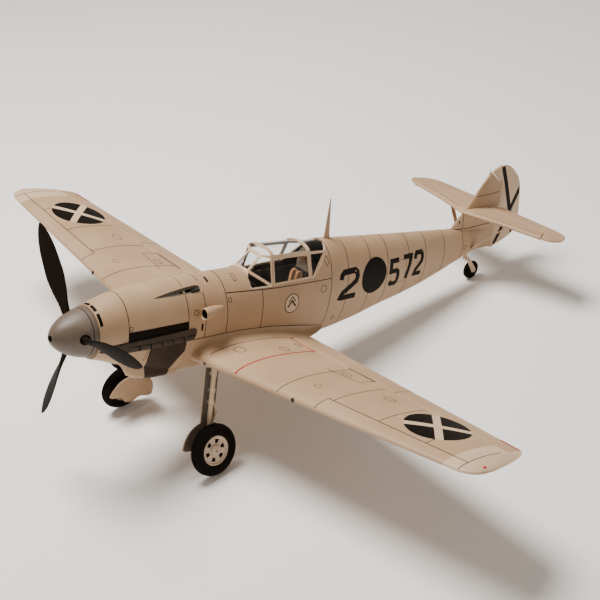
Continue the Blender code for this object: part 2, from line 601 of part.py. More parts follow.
# ---------------------------------------------------------------- wings
for name, side in SIDES:
    stations = [38.0, 62.0, 140.0, 250.0, 360.0, 470.0, WING_END] + [row[0] for row in TIP[1:]]
    wing = loft("wing_" + name, [wing_ring(x, side) for x in stations], "painted_foam")
    duct_z = wing_heights(150, 420)[0] + 2
    radiator = loft("radiator", [[sided(Vector((x, y, duct_z - d * h)), side)
                                  for x, h in ((118.3, -0.3), (121.2, 0.83), (126.4, 1), (184.1, 1), (189.3, 0.83),
                                              (192.2, -0.3))]
                                 for y, d in ((345, 15.0), (392, 16.0), (425, 7.0))], "painted_foam")
    carve(wing, [radiator], "UNION")
    x0, x1 = FLAP_X[0] - 0.8, AILERON_X[1] + 0.8
    cutline = [(x, hinge(x)[0].y - hinge(x)[1] - 0.8) for x in (x0, x1)]
    wheel_up = leg_point(LEG_LENGTH, WHEEL_OFFSET, 0, True)
    strip = [leg_point(a, -30, c, True, side) for a, c in ((-14, -17), (-14, 17), (LEG_LENGTH, 17), (LEG_LENGTH, -17))]
    depth_up = sided(UP_AXLE * 39.5, side)
    pocket = Vector((460.0, 356.0, 0.0))
    low = wing_heights(pocket.x, pocket.y)[0]
    carve(wing, [
        hull_plug("cut", 200, 560),
        prism("cut", [(cutline[0][0] * side, cutline[0][1], -150), (cutline[1][0] * side, cutline[1][1], -150),
                      (cutline[1][0] * side, 520, -150), (cutline[0][0] * side, 520, -150)], (0, 0, 250), "steel"),
        box("cut", (min(129 * side, 181 * side), 338.7, duct_z - 13.1),
            (max(129 * side, 181 * side), 376.3, duct_z - 6.3), "steel"),
        spar("cut", 0.35),
        prism("cut", strip, depth_up, "steel"),
        lathe("cut", sided(wheel_up - UP_AXLE * 45, side), sided(UP_AXLE, side),
              [(0, 50.5), (45 + WHEEL_HALF - 9.0, 50.5), (45 + WHEEL_HALF + 1.0, 37.0)], "steel", count=30),
        prism("cut", [(48 * side, y, z) for y, z in ((249, -64.5), (253, -66), (281, -66), (281, -49.5), (257, -49.5),
                                                     (249, -54))], (24 * side, 0, 0), "steel"),
        box("cut", (min(447 * side, 473 * side), 349.5, low - 6), (max(447 * side, 473 * side), 362.5, low + 11),
            "steel"),
    ])
spar("wing_spar")

# ---------------------------------------------------------------- flaps, ailerons and aileron drives
for name, side in SIDES:
    for kind, (x0, x1) in (("flap_", FLAP_X), ("aileron_", AILERON_X)):
        start = sided(hinge(x0)[0], side)
        loft(kind + name, [surface_ring(x, side) for x in np.linspace(x0, x1, 4)], "painted_foam", start)

ARM_X = 460.0
for name, side in SIDES:
    at, radius = hinge(ARM_X)
    low = wing_heights(ARM_X, 356)[0]
    # The servo lies in its pocket with its output shaft across the span.
    servo_low = low + 0.5
    servo = box("aileron_servo_" + name, (min(448 * side, 472 * side), 350, servo_low),
                (max(448 * side, 472 * side), 362, servo_low + 10), "servo_plastic")
    pivot = Vector((474.6, 356, servo_low + 3))
    carve(servo, [rod("post", (471 * side, 356, pivot.z), (474.2 * side, 356, pivot.z), 2.0, "servo_plastic", count=8)],
          "UNION")
    # A channel in the wing skin beside the pocket clears the arm.
    carve(bpy.data.objects["wing_" + name],
          [box("cut", (min(471 * side, 481 * side), 344, low - 8), (max(471 * side, 481 * side), 368, low + 8),
               "steel")])
    drop = 15.0
    surface_low = wing_heights(ARM_X, at.y)[0]
    prism("aileron_arm_" + name,
          [sided(Vector((474.8, 356 + y, pivot.z + z)), side) for y, z in
           ((-3, 1), (-1.5, 3), (1.5, 3), (3, 1), (1.8, -drop - 1.2), (-1.8, -drop - 1.2))],
          (1.4 * side, 0, 0), "servo_plastic", sided(pivot, side))
    horn_x = 474.8
    prism("aileron_horn_" + name,
          [sided(Vector((horn_x, at.y + y, z)), side) for y, z in
           ((-1.8, at.z - drop - 1.5), (1.8, at.z - drop - 1.5), (9, surface_low - 0.45), (2, surface_low - 0.45))],
          (1.4 * side, 0, 0), "servo_plastic", sided(at, side))
    rod_x = 478.2
    rod("aileron_pushrod_" + name, sided((rod_x, 356, pivot.z - drop), side),
        sided((rod_x, at.y, at.z - drop), side), 0.9, "steel", sided((rod_x, 356, pivot.z - drop), side), count=8)

# ---------------------------------------------------------------- canopy
def canopy_row(y, slanted=False):
    """Points across one frame, port sill over the roof to starboard sill; a slanted row follows the rear edge."""
    half = []
    for k in range(6):
        at = y
        for _ in range(5 if slanted else 1):
            sill, rail, rail_z, crown, fullness = (interp(CANOPY, at, column) for column in range(1, 6))
            turn = math.radians(22.5 * (k - 1))
            x, z = sill, SILL_Z + 0.5
            if k:
                x, z = rail * abs(math.cos(turn)) ** fullness, rail_z + (crown - rail_z) * math.sin(turn) ** fullness
            if slanted:
                at = REAR_FOOT - 0.7 + (z - SILL_Z) * REAR_LEAN
        half.append(Vector((x if k < 5 else 0.0, at, z)))
    return half + [mirror(p) for p in half[-2::-1]]


def thick_skin(name, points, faces, outer, inner, slot, origin=(0, 0, 0)):
    """Closed shell between two offsets of an open faceted skin."""
    normals = [[] for _ in points]
    for face in faces:
        a, b, c = (points[k] for k in face[:3])
        normal = (b - a).cross(c - a).normalized()
        for k in face:
            normals[k].append(normal)
    moves = []
    for rows in normals:
        matrix = np.array([list(n) for n in rows])
        moves.append(Vector(np.linalg.lstsq(matrix, np.ones(len(rows)), rcond=0.2)[0]))
    shell = [p - m * outer for p, m in zip(points, moves)] + [p - m * inner for p, m in zip(points, moves)]
    count = len(points)
    skin = [tuple(f) for f in faces] + [tuple(k + count for k in f[::-1]) for f in faces]
    edges = {}
    for face in faces:
        for a, b in zip(face, list(face[1:]) + [face[0]]):
            edges[(a, b)] = True
    for a, b in edges:
        if (b, a) not in edges:
            skin.append((b, a, a + count, b + count))
    return solid(name, shell, skin, slot, origin)


def window(points, inset):
    """Cutter through one flat pane, its outline inset by the frame width."""
    normal = (points[1] - points[0]).cross(points[2] - points[0]).normalized()
    count = len(points)
    corners = []
    for k in range(count):
        before, here, after = points[k - 1], points[k], points[(k + 1) % count]
        a = normal.cross((here - before).normalized())
        b = normal.cross((after - here).normalized())
        corners.append(here + (a + b) * (inset / (1.0 + a.dot(b))))
    return prism("cut", [c - normal * 8 for c in corners], normal * 16, "steel")


FRAME, PANE = 2.2, (2.5, 3.3)


def between(start, end, steps):
    return [start + (end - start) * (k / steps) for k in range(steps + 1)]


def ruled(front, rear, steps):
    """Rows of a patch ruled between two edges of equal point count."""
    return [[a + (b - a) * (k / steps) for a, b in zip(front, rear)] for k in range(steps + 1)]


def grid(rows):
    """Triangles of a grid of points, seen from outside when rows run aft and points run from port to starboard."""
    made = []
    for front, rear in zip(rows, rows[1:]):
        for k in range(len(front) - 1):
            made += [(front[k], rear[k], rear[k + 1]), (front[k], rear[k + 1], front[k + 1])]
    return made


def skin_of(name, triangles, outer, inner, slot, origin=(0, 0, 0)):
    places, points, faces = {}, [], []
    for triangle in triangles:
        face = []
        for p in triangle:
            key = tuple(round(c, 3) for c in p)
            if key not in places:
                places[key] = len(points)
                points.append(p)
            face.append(places[key])
        if len(set(face)) == 3:
            faces.append(tuple(face))
    return thick_skin(name, points, faces, outer, inner, slot, origin)


def pane(front, rear, inset, steps=1):
    """Cutter through a ruled patch, its edges moved in by the frame width."""
    edges = []
    for row in (front, rear):
        edges.append([row[0] + (row[1] - row[0]).normalized() * inset] + list(row[1:-1])
                     + [row[-1] + (row[-2] - row[-1]).normalized() * inset])
    trimmed = [(a + (b - a).normalized() * inset, b - (b - a).normalized() * inset) for a, b in zip(*edges)]
    rows = ruled([a for a, _ in trimmed], [b for _, b in trimmed], steps)
    return skin_of("cut", grid(rows), -2.5, 5.0, "steel")


def canopy_section(stem, front, rear, inset, origin=(0, 0, 0)):
    triangles = grid([front, rear])
    made = skin_of(stem + "_frame", triangles, 0.0, FRAME, "painted_foam", origin)
    below = box("cut", (-60, 390, 0), (60, 560, SILL_Z + GAP), "steel")
    carve(made, [pane(front[:2], rear[:2], inset), pane(front[-2:], rear[-2:], inset),
                 pane(front[1:-1], rear[1:-1], inset), below])
    glass = skin_of(stem + "_glass", triangles, PANE[0], PANE[1], "clear_canopy", origin)
    carve(glass, [box("cut", (-60, 390, 0), (60, 560, SILL_Z + GAP), "steel")])


HOOD_HINGE = Vector((-45.6, 445.0, SILL_Z + 0.8))
canopy_section("canopy", canopy_row(HOOD[0] + GAP), canopy_row(HOOD[1] - GAP), 4.0, HOOD_HINGE)
canopy_section("rear_canopy", canopy_row(HOOD[1] + GAP), canopy_row(0.0, True), 2.6)

for stem in ("rear_canopy_frame", "rear_canopy_glass"):
    edge = [(-60, REAR_FOOT - 0.55 + (z - SILL_Z) * REAR_LEAN, z) for z in (30, 120)]
    carve(bpy.data.objects[stem], [prism("cut", [edge[0], (-60, 640, 30), (-60, 640, 120), edge[1]], (120, 0, 0),
                                         "steel")])

arch = canopy_row(SCREEN_REAR)
low, high = Vector((17.0, 366.0, 59.5)), Vector((13.5, 392.5, 83.5))
base = [Vector((x, DECK_END + 0.6, -8.0 + 69.5 * math.sqrt(1.0 - (x / 51.0) ** 2)))
        for x in np.linspace(24.0, -24.0, 9)]
foot = Vector((38.6, DECK_END + 0.6, SILL_Z + 0.5))
sill_bar, low_edge, high_edge = between(low, arch[0], 3), between(low, mirror(low), 8), between(high, mirror(high), 8)
side = grid(ruled(between(low, high, 3), between(arch[0], arch[1], 3), 3))
side += [(foot, sill_bar[k + 1], sill_bar[k]) for k in range(3)] + [(foot, low, base[0])]
skin = side + [tuple(mirror(p) for p in triangle[::-1]) for triangle in side]
skin += grid(ruled(low_edge, high_edge, 3)) + grid(ruled(high_edge, arch[1:-1], 3)) + grid([base, low_edge])
screen = skin_of("windscreen_frame", skin, 0.0, FRAME, "painted_foam")
quarter = [arch[0], low, base[0], foot]
carve(screen, [pane(between(low, high, 3), between(arch[0], arch[1], 3), 2.8, 3),
               pane([mirror(p) for p in between(low, high, 3)][::-1],
                    [mirror(p) for p in between(arch[0], arch[1], 3)][::-1], 2.8, 3),
               pane(low_edge, high_edge, 2.6, 3), pane(high_edge, arch[1:-1], 2.6, 3),
               window(quarter, 2.0), window([mirror(p) for p in quarter[::-1]], 2.0)])
pane_node = skin_of("windscreen_glass", skin, PANE[0], PANE[1], "clear_canopy")
for made in (screen, pane_node):
    carve(made, [hull_plug("cut", 300, DECK_END + 0.2, GAP),
                 box("cut", (-60, SCREEN_REAR, 0), (60, 460, 140), "steel"),
                 box("cut", (-60, 340, 0), (60, 420, SILL_Z + GAP), "steel")])

# ---------------------------------------------------------------- cockpit and equipment
TRAY_Z = -34.0
tub = prism("cockpit_tub", [(sx * (hull_side(y, TRAY_Z) - HULL_WALL - 2.0), y, TRAY_Z) for sx, y in
                            ((1, 262), (1, 500), (1, 600), (1, 640), (-1, 640), (-1, 600), (-1, 500), (-1, 262))],
            (0, 0, 3), "cockpit_plastic")
carve(tub, [box("walls", (-30, 362, TRAY_Z + 1), (30, 536, SILL_Z - 4), "cockpit_plastic")], "UNION")
carve(tub, [box("cut", (-27.5, 364.5, TRAY_Z + 4), (27.5, 533.5, SILL_Z + 10), "steel")])
seat = box("pilot_seat", (-15, 462, TRAY_Z + 4.4), (15, 500, TRAY_Z + 14), "cockpit_plastic")
carve(seat, [prism("back", [(-15, 492, TRAY_Z + 10), (-15, 500, TRAY_Z + 10), (-15, 510, 34), (-15, 506, 34)],
                   (30, 0, 0), "cockpit_plastic")], "UNION")
loft("instrument_panel", [[Vector((x, y, z)) for x, z in ((-26.8, -12), (26.8, -12), (26.8, 27), (18, 32), (-18, 32),
                                                          (-26.8, 27))] for y in (384, 387)], "cockpit_plastic")
box("battery_pack", (-17.5, 246, -89), (17.5, 351, -63), "battery_wrap")
box("speed_controller", (-15, 268, TRAY_Z + 3.4), (15, 330, TRAY_Z + 13), "electronics_wrap")
box("receiver", (-11, 545, TRAY_Z + 3.4), (11, 583, TRAY_Z + 15), "electronics_wrap")
for stem, side in (("elevator_servo", 1), ("rudder_servo", -1)):
    servo = box(stem, (min(6 * side, 18 * side), 592, TRAY_Z + 3.4), (max(6 * side, 18 * side), 615, TRAY_Z + 25),
                "servo_plastic")
    carve(servo, [rod("shaft", (12 * side, 598, TRAY_Z + 24), (12 * side, 598, TRAY_Z + 29), 3, "servo_plastic"),
                  box("arm", (12 * side - 10, 596.5, TRAY_Z + 27), (12 * side + 10, 599.5, TRAY_Z + 29),
                      "servo_plastic")],
          "UNION")

# ---------------------------------------------------------------- exhausts and intake
for name, side in SIDES:
    rings = []
    for y, low, high in ((95, -20, -10.5), (104, -23, -9.5), (226, -22, -6.5), (238, -20, -7), (243, -17, -9)):
        inside = min(hull_side(y, low), hull_side(y, high)) - 3
        outside = hull_side(y, (low + high) / 2) + (2.5 if y in (95, 243) else 5.5)
        rings.append([sided(Vector(p), side) for p in ((inside, y, low), (outside, y, low + 1.2),
                                                       (outside, y, high - 1.2), (inside, y, high))])
    bar = loft("exhaust_" + name, rings, "exhaust_plastic")
    stubs = []
    for k in range(6):
        y = 122 + 21 * k
        x = hull_side(y, -18) + 2.5
        stubs.append(loft("stub", [[sided(Vector((x + px * s, y + dy, z)), side) for px, z in
                                    ((0, -22), (5.2, -21.5), (6.6, -18.5), (5.2, -15.5), (0, -15))]
                                   for dy, s in ((-8, 0.3), (7, 1.25))], "exhaust_plastic"))
    carve(bar, stubs, "UNION")
    carve(bar, [hull_plug("cut", 70, 300, GAP)])

scoop = loft("supercharger_intake", [[Vector((x + 1.6 + r * math.cos(a), y, 19 + r * math.sin(a)))
                                      for a in [2 * math.pi * k / 14 for k in range(14)]] for y, x, r in
                                     ((286, 50, 2.0), (274, 53, 3.4), (262, 55.5, 5.0), (249, 56.5, 6.0),
                                      (247.5, 56.5, 7.6), (249, 56.5, 9.0), (262, 55.0, 9.0), (280, 50.5, 7.5),
                                      (299, 46.0, 4.0))], "painted_foam")
carve(scoop, [hull_plug("cut", 200, 340, GAP)])

# ---------------------------------------------------------------- undercarriage
for name, side in SIDES:
    top = sided(LEG_TOP, side)
    down = sided(LEG_LINE, side)
    leg = lathe("gear_leg_" + name, top, down, [(-6, 5.2), (26, 5.2), (27, 4.0), (46, 4.0), (47, 5.0), (52, 5.0),
                                                (53, 4.0), (66, 4.0), (67, 5.0), (72, 5.0), (73, 4.0),
                                                (LEG_LENGTH - 6, 4.0), (LEG_LENGTH - 5, 4.8), (LEG_LENGTH + 5, 4.8)],
                "painted_foam", origin=top, count=10)
    turn = RETRACT.to_quaternion()
    hinge_axis = Vector(turn.axis)
    spin = sided(AXLE, side)
    foot = sided(LEG_FOOT, side)
    carve(leg, [rod("pin", foot, foot + spin * (WHEEL_OFFSET + WHEEL_HALF - 1), 2.2, "steel"),
                rod("trunnion", top - sided(hinge_axis, side) * 9, top + sided(hinge_axis, side) * 9, 3.2, "steel")],
          "UNION")
    centre = sided(WHEEL_CENTRE, side)
    lathe("wheel_hub_" + name, centre, spin,
          [(-8.0, 2.6), (-8.0, 8.0), (-3.0, 9.0), (-3.0, 22.0), (-7.0, RIM_RADIUS - 0.2), (7.0, RIM_RADIUS - 0.2),
           (2.0, 20.5), (2.0, 9.0), (8.2, 7.0), (8.2, 2.6)], "hub_plastic", origin=centre, count=20,
          closed=True)
    carve(bpy.data.objects["wheel_hub_" + name],
          [rod("cut", centre + (frame_of(spin)[1] * math.cos(a) + frame_of(spin)[2] * math.sin(a)) * 14.8 - spin * 6,
               centre + (frame_of(spin)[1] * math.cos(a) + frame_of(spin)[2] * math.sin(a)) * 14.8 + spin * 6, 3.3,
               "steel", count=6) for a in [2 * math.pi * k / 6 for k in range(6)]])
    lathe("tyre_" + name, centre, spin,
          [(-7.0, RIM_RADIUS + 0.3), (-8.75, 34.5), (-6.6, 41.0), (0, WHEEL_RADIUS), (6.6, 41.0), (8.75, 34.5),
           (7.0, RIM_RADIUS + 0.3)], "tyre_rubber", origin=centre, count=28, closed=True)
    door = prism("gear_door_" + name, door_outline(-6.6, side), spin * 1.4, "painted_foam", top)
    carve(door, [loft("bracket", [[leg_point(a, o, c, side=side) for a, c in
                                   ((20, -2), (26, -2), (26, 2), (20, 2))] for o in (-5.6, -5.45)], "painted_foam")],
          "UNION")
    retract = prism("retract_unit_" + name,
                    [(48.6 * side, y, z) for y, z in ((249.6, -63.9), (253.2, -65.4), (280.4, -65.4), (280.4, -50.1),
                                                      (257.3, -50.1), (249.6, -54.5))],
                    (22.8 * side, 0, 0), "servo_plastic")
    carve(retract, [box("cut", (min(64 * side, 90 * side), 256, -80), (max(64 * side, 90 * side), 275, -40), "steel")])

fork = rod("tail_fork", (0, 947, 7), (0, 947, -14), 3.0, "painted_foam", (0, 947, 0))
carve(fork, [prism("arm", [(7.0, 943, -9), (7.0, 951, -9), (7.0, 976, -36), (7.0, 974, -43), (7.0, 967, -42)],
                   (2.2, 0, 0), "painted_foam"),
             box("bridge", (-2.6, 943.5, -14), (9.2, 950.5, -9), "painted_foam"),
             rod("pin", (-4.5, TAIL_WHEEL.y, TAIL_WHEEL.z), (8, TAIL_WHEEL.y, TAIL_WHEEL.z), 1.6, "painted_foam")],
      "UNION")
lathe("tail_wheel", TAIL_WHEEL, (1, 0, 0),
      [(-4.0, 2.0), (-4.0, 8.0), (-TAIL_WHEEL_HALF, 13.5), (-3.6, 17.6), (0, TAIL_WHEEL_RADIUS), (3.6, 17.6),
       (TAIL_WHEEL_HALF, 13.5), (4.0, 8.0), (4.0, 2.0)], "tyre_rubber", origin=TAIL_WHEEL, count=20, closed=True)
carve(fuselage, [rod("cut", (0, 947, 12), (0, 947, -30), 3.5, "steel")])

for stem in ("fuselage", "wing_left", "wing_right", "canopy_frame", "rear_canopy_frame", "windscreen_frame",
             "battery_hatch", "cockpit_tub", "exhaust_left", "exhaust_right"):
    tidy(bpy.data.objects[stem], 0.1)

# Curved skins are shaded smooth, with their edges kept.
for piece in LEVEL.children:
    piece.data.shade_smooth()
    piece.data.set_sharp_from_angle(angle=math.radians(35.0))
bpy.context.view_layer.update()
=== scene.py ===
"""Looks of the RC warbird plane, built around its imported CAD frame.

Shapes are laid out in the level frame of the aircraft, in millimetres from the spinner tip:
+x to port, +y aft, +z up. level_to_world() stands them on the ground, in metres.
"""
import math
from collections import namedtuple

import bmesh
import bpy
import numpy as np
from mathutils import Matrix, Vector
from mathutils.geometry import delaunay_2d_cdt


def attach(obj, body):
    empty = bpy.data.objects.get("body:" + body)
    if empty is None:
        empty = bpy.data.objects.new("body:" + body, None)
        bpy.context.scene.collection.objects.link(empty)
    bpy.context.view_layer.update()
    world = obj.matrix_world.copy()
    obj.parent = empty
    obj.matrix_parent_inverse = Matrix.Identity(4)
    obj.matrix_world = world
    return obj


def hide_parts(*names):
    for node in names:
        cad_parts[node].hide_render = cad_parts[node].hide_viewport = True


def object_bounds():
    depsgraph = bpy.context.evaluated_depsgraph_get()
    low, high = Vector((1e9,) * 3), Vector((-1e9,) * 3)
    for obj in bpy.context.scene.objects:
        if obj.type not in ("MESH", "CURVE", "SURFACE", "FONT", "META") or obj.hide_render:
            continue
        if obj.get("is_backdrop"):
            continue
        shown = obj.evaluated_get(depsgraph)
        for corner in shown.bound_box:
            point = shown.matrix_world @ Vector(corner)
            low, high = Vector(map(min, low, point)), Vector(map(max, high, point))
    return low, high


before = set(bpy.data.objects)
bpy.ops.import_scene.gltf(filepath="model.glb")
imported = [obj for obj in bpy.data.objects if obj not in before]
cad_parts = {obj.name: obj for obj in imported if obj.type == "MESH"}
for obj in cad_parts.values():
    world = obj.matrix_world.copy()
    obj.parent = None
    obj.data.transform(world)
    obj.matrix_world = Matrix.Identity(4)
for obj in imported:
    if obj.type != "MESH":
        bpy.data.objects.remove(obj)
cad_low, cad_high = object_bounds()

# ---------------------------------------------------------------- frame of reference
NOSE_UP = math.radians(14.0)
STANCE = Vector((0.0, -534.62, 292.61))
LEVEL = Matrix.Rotation(-NOSE_UP, 3, "X")


def level_to_world(point):
    return (LEVEL @ Vector(point) + STANCE) * 0.001


def sided(point, side):
    return Vector((point[0] * side, point[1], point[2]))


SIDES = (("left", 1), ("right", -1))
CORNERS = ((-1, -1), (1, -1), (1, 1), (-1, 1))

# ---------------------------------------------------------------- camera
camera_data = bpy.data.cameras.new("camera")
camera_data.lens, camera_data.sensor_width = 83.75, 36.0
camera = bpy.data.objects.new("camera", camera_data)
bpy.context.scene.collection.objects.link(camera)
forward = Vector((-0.6568, 0.5403, -0.5261)).normalized()
right = Vector((0.6572, 0.7522, -0.0480)).normalized()
up = right.cross(forward)
turned = Matrix((right, up, -forward)).transposed().to_4x4()
camera.matrix_world = Matrix.Translation((1.6154, -1.3709, 1.43677)) @ turned
bpy.context.scene.camera = camera

# ---------------------------------------------------------------- materials
MATERIALS = {}


def finish(name, dark, light, rough=(0.42, 0.56), metallic=0.0, blotch=9.0, grain=700.0, bump=0.06, streak=None,
           **sockets):
    """Two-tone mottled surface: broad blotches and fine grain drive colour, gloss and relief."""
    made = bpy.data.materials.new(name)
    made.use_nodes = True
    nodes, links = made.node_tree.nodes, made.node_tree.links
    shader = nodes["Principled BSDF"]
    place = nodes.new("ShaderNodeTexCoord")
    source = place.outputs["Object"]
    if streak:
        mapping = nodes.new("ShaderNodeMapping")
        mapping.inputs["Scale"].default_value = streak
        links.new(source, mapping.inputs["Vector"])
        source = mapping.outputs["Vector"]
    broad = nodes.new("ShaderNodeTexNoise")
    broad.inputs["Scale"].default_value = blotch
    broad.inputs["Detail"].default_value = 6.0
    broad.inputs["Roughness"].default_value = 0.6
    links.new(source, broad.inputs["Vector"])
    fine = nodes.new("ShaderNodeTexNoise")
    fine.inputs["Scale"].default_value = grain
    fine.inputs["Detail"].default_value = 3.0
    links.new(place.outputs["Object"], fine.inputs["Vector"])
    mixed = nodes.new("ShaderNodeMath")
    mixed.operation = "MULTIPLY_ADD"
    mixed.inputs[1].default_value = 0.35
    links.new(fine.outputs["Fac"], mixed.inputs[0])
    links.new(broad.outputs["Fac"], mixed.inputs[2])
    ramp = nodes.new("ShaderNodeValToRGB")
    ramp.color_ramp.elements[0].position, ramp.color_ramp.elements[1].position = 0.5, 0.86
    ramp.color_ramp.elements[0].color = (*dark, 1.0)
    ramp.color_ramp.elements[1].color = (*light, 1.0)
    links.new(mixed.outputs[0], ramp.inputs["Fac"])
    links.new(ramp.outputs["Color"], shader.inputs["Base Color"])
    gloss = nodes.new("ShaderNodeMapRange")
    gloss.inputs["From Min"].default_value, gloss.inputs["From Max"].default_value = 0.3, 0.7
    gloss.inputs["To Min"].default_value, gloss.inputs["To Max"].default_value = rough
    links.new(broad.outputs["Fac"], gloss.inputs["Value"])
    links.new(gloss.outputs["Result"], shader.inputs["Roughness"])
    relief = nodes.new("ShaderNodeBump")
    relief.inputs["Strength"].default_value = bump
    relief.inputs["Distance"].default_value = 0.0003
    links.new(fine.outputs["Fac"], relief.inputs["Height"])
    links.new(relief.outputs["Normal"], shader.inputs["Normal"])
    shader.inputs["Metallic"].default_value = metallic
    for socket, value in sockets.items():
        shader.inputs[socket.replace("_", " ")].default_value = value
    MATERIALS[name] = made
    return made


finish("paint", (0.40, 0.258, 0.150), (0.48, 0.325, 0.200), Specular_IOR_Level=0.28)
finish("paint_pale", (0.56, 0.40, 0.265), (0.66, 0.49, 0.335), Specular_IOR_Level=0.28)
finish("line", (0.012, 0.008, 0.006), (0.030, 0.021, 0.015), (0.6, 0.8), Specular_IOR_Level=0.2)
finish("marking_black", (0.004, 0.003, 0.002), (0.009, 0.006, 0.004), (0.45, 0.6), Specular_IOR_Level=0.06)
finish("marking_red", (0.30, 0.004, 0.006), (0.42, 0.008, 0.008), (0.45, 0.6), Specular_IOR_Level=0.1)
# Near-black: painted shade lining the insides of holes, mouths, slots and gaps, and the own black of the gun muzzles
# and radiator core.
finish("black_and_hole_shade", (0.004, 0.003, 0.003), (0.010, 0.008, 0.006), (0.8, 0.9))
finish("soot_patch", (0.034, 0.023, 0.015), (0.050, 0.034, 0.023), (0.5, 0.65), blotch=30.0, Specular_IOR_Level=0.12)
finish("exhaust", (0.038, 0.026, 0.018), (0.062, 0.043, 0.030), (0.5, 0.65), blotch=40.0, bump=0.1,
       Specular_IOR_Level=0.25)
finish("spinner", (0.105, 0.076, 0.055), (0.140, 0.104, 0.077), (0.42, 0.52), blotch=25.0, Specular_IOR_Level=0.45)
finish("blade", (0.006, 0.0038, 0.0025), (0.012, 0.0075, 0.0045), (0.55, 0.65), blotch=14.0, Specular_IOR_Level=0.05)
finish("rubber", (0.005, 0.004, 0.0032), (0.011, 0.008, 0.006), (0.68, 0.85), blotch=60.0, bump=0.2,
       Specular_IOR_Level=0.04)
finish("rim", (0.50, 0.385, 0.28), (0.60, 0.47, 0.35), (0.35, 0.48), blotch=60.0)
# Dark grey: the own colour of the gear doors' inner face; it also lines the gun troughs as painted shade.
finish("door_inside_and_trough_shade", (0.085, 0.066, 0.050), (0.125, 0.098, 0.076), (0.55, 0.7), blotch=30.0)
finish("well", (0.16, 0.135, 0.108), (0.22, 0.19, 0.155), (0.6, 0.75), blotch=30.0)
finish("steel", (0.42, 0.41, 0.40), (0.58, 0.57, 0.56), (0.22, 0.36), 1.0, blotch=50.0, streak=(1, 1, 6))
finish("aluminium", (0.55, 0.55, 0.56), (0.70, 0.70, 0.72), (0.28, 0.42), 1.0, blotch=50.0, streak=(1, 6, 1))
finish("cockpit", (0.032, 0.026, 0.021), (0.060, 0.050, 0.040), (0.55, 0.7), blotch=40.0)
finish("cockpit_light", (0.30, 0.24, 0.18), (0.42, 0.34, 0.26), (0.5, 0.65), blotch=40.0)
finish("leather", (0.20, 0.105, 0.050), (0.34, 0.19, 0.095), (0.5, 0.65), blotch=70.0, grain=1500.0, bump=0.3)
finish("webbing", (0.60, 0.27, 0.12), (0.78, 0.40, 0.20), (0.7, 0.85), blotch=80.0, grain=2600.0, bump=0.5)
finish("servo", (0.012, 0.020, 0.040), (0.030, 0.045, 0.080), (0.35, 0.5), blotch=60.0)
finish("battery", (0.020, 0.060, 0.180), (0.040, 0.100, 0.260), (0.25, 0.4), blotch=30.0)
finish("shrink_wrap", (0.010, 0.010, 0.012), (0.030, 0.030, 0.033), (0.25, 0.4), blotch=50.0)
finish("plywood", (0.36, 0.22, 0.11), (0.55, 0.37, 0.20), (0.6, 0.75), blotch=12.0, streak=(1.0, 1.0, 14.0))
finish("glass", (0.86, 0.88, 0.90), (0.95, 0.96, 0.97), (0.02, 0.06), blotch=12.0, bump=0.0,
       Transmission_Weight=1.0, IOR=1.18)
finish("lamp_red", (0.45, 0.008, 0.008), (0.62, 0.015, 0.012), (0.12, 0.2), Coat_Weight=0.6)


# ---------------------------------------------------------------- shapes: (points, faces, slots)
def angles(count):
    """Equal steps round a full turn, in radians."""
    return [2 * math.pi * k / count for k in range(count)]


def circle(x, y, z, radius, count):
    """Ring of points in the plane across the aircraft's length."""
    return [Vector((x + radius * math.cos(a), y, z + radius * math.sin(a))) for a in angles(count)]


def merge(*shapes):
    """One shape out of several."""
    points, faces, slots = [], [], []
    for p, f, s in shapes:
        faces += [tuple(k + len(points) for k in face) for face in f]
        points += p
        slots += s
    return points, faces, slots


def loft(rings, slot=0, loop=False, caps=True):
    """Skin over rings of equal count. slot is a number, or a function of ring and point index."""
    count, points = len(rings[0]), [Vector(p) for ring in rings for p in ring]
    faces, slots = [], []
    for i in range(len(rings) if loop else len(rings) - 1):
        a, b = i * count, (i + 1) % len(rings) * count
        for j in range(count):
            k = (j + 1) % count
            faces.append((a + j, a + k, b + k, b + j))
            slots.append(slot(i, j) if callable(slot) else slot)
    if caps and not loop:
        faces += [tuple(range(count)), tuple(range(len(points) - count, len(points)))]
        slots += [slot(0, 0) if callable(slot) else slot] * 2
    return points, faces, slots


def axes_of(axis):
    """Unit axis and two directions square to it."""
    axis = Vector(axis).normalized()
    side = axis.cross(Vector((0.0, 0.0, 1.0)))
    if side.length < 1e-3:
        side = axis.cross(Vector((0.0, 1.0, 0.0)))
    side.normalize()
    return axis, side, axis.cross(side)


def lathe(start, axis, profile, count=48, slot=0, loop=False):
    """Turned shape: rows are (distance along the axis, radius[, slot of the band after it])."""
    axis, u, v = axes_of(axis)
    start = Vector(start)
    rings = [[start + axis * row[0] + (u * math.cos(a) + v * math.sin(a)) * row[1] for a in angles(count)]
             for row in profile]
    pick = (lambda i, j: profile[i][2] if len(profile[i]) > 2 else slot)
    return loft(rings, pick, loop)


def rod(start, end, radius, count=16, slot=0, chamfer=0.0):
    start, end = Vector(start), Vector(end)
    length = (end - start).length
    rows = [(0, radius), (length, radius)]
    if chamfer:
        rows = [(0, radius - chamfer), (chamfer, radius), (length - chamfer, radius), (length, radius - chamfer)]
    return lathe(start, end - start, rows, count, slot)


def prism(polygon, shift, slot=0):
    return loft([[Vector(p) for p in polygon], [Vector(p) + Vector(shift) for p in polygon]], slot)


def box(low, high, slot=0):
    (x0, x1), (y0, y1), (z0, z1) = (sorted(pair) for pair in zip(low, high))
    return prism([(x0, y0, z0), (x1, y0, z0), (x1, y1, z0), (x0, y1, z0)], (0, 0, z1 - z0), slot)


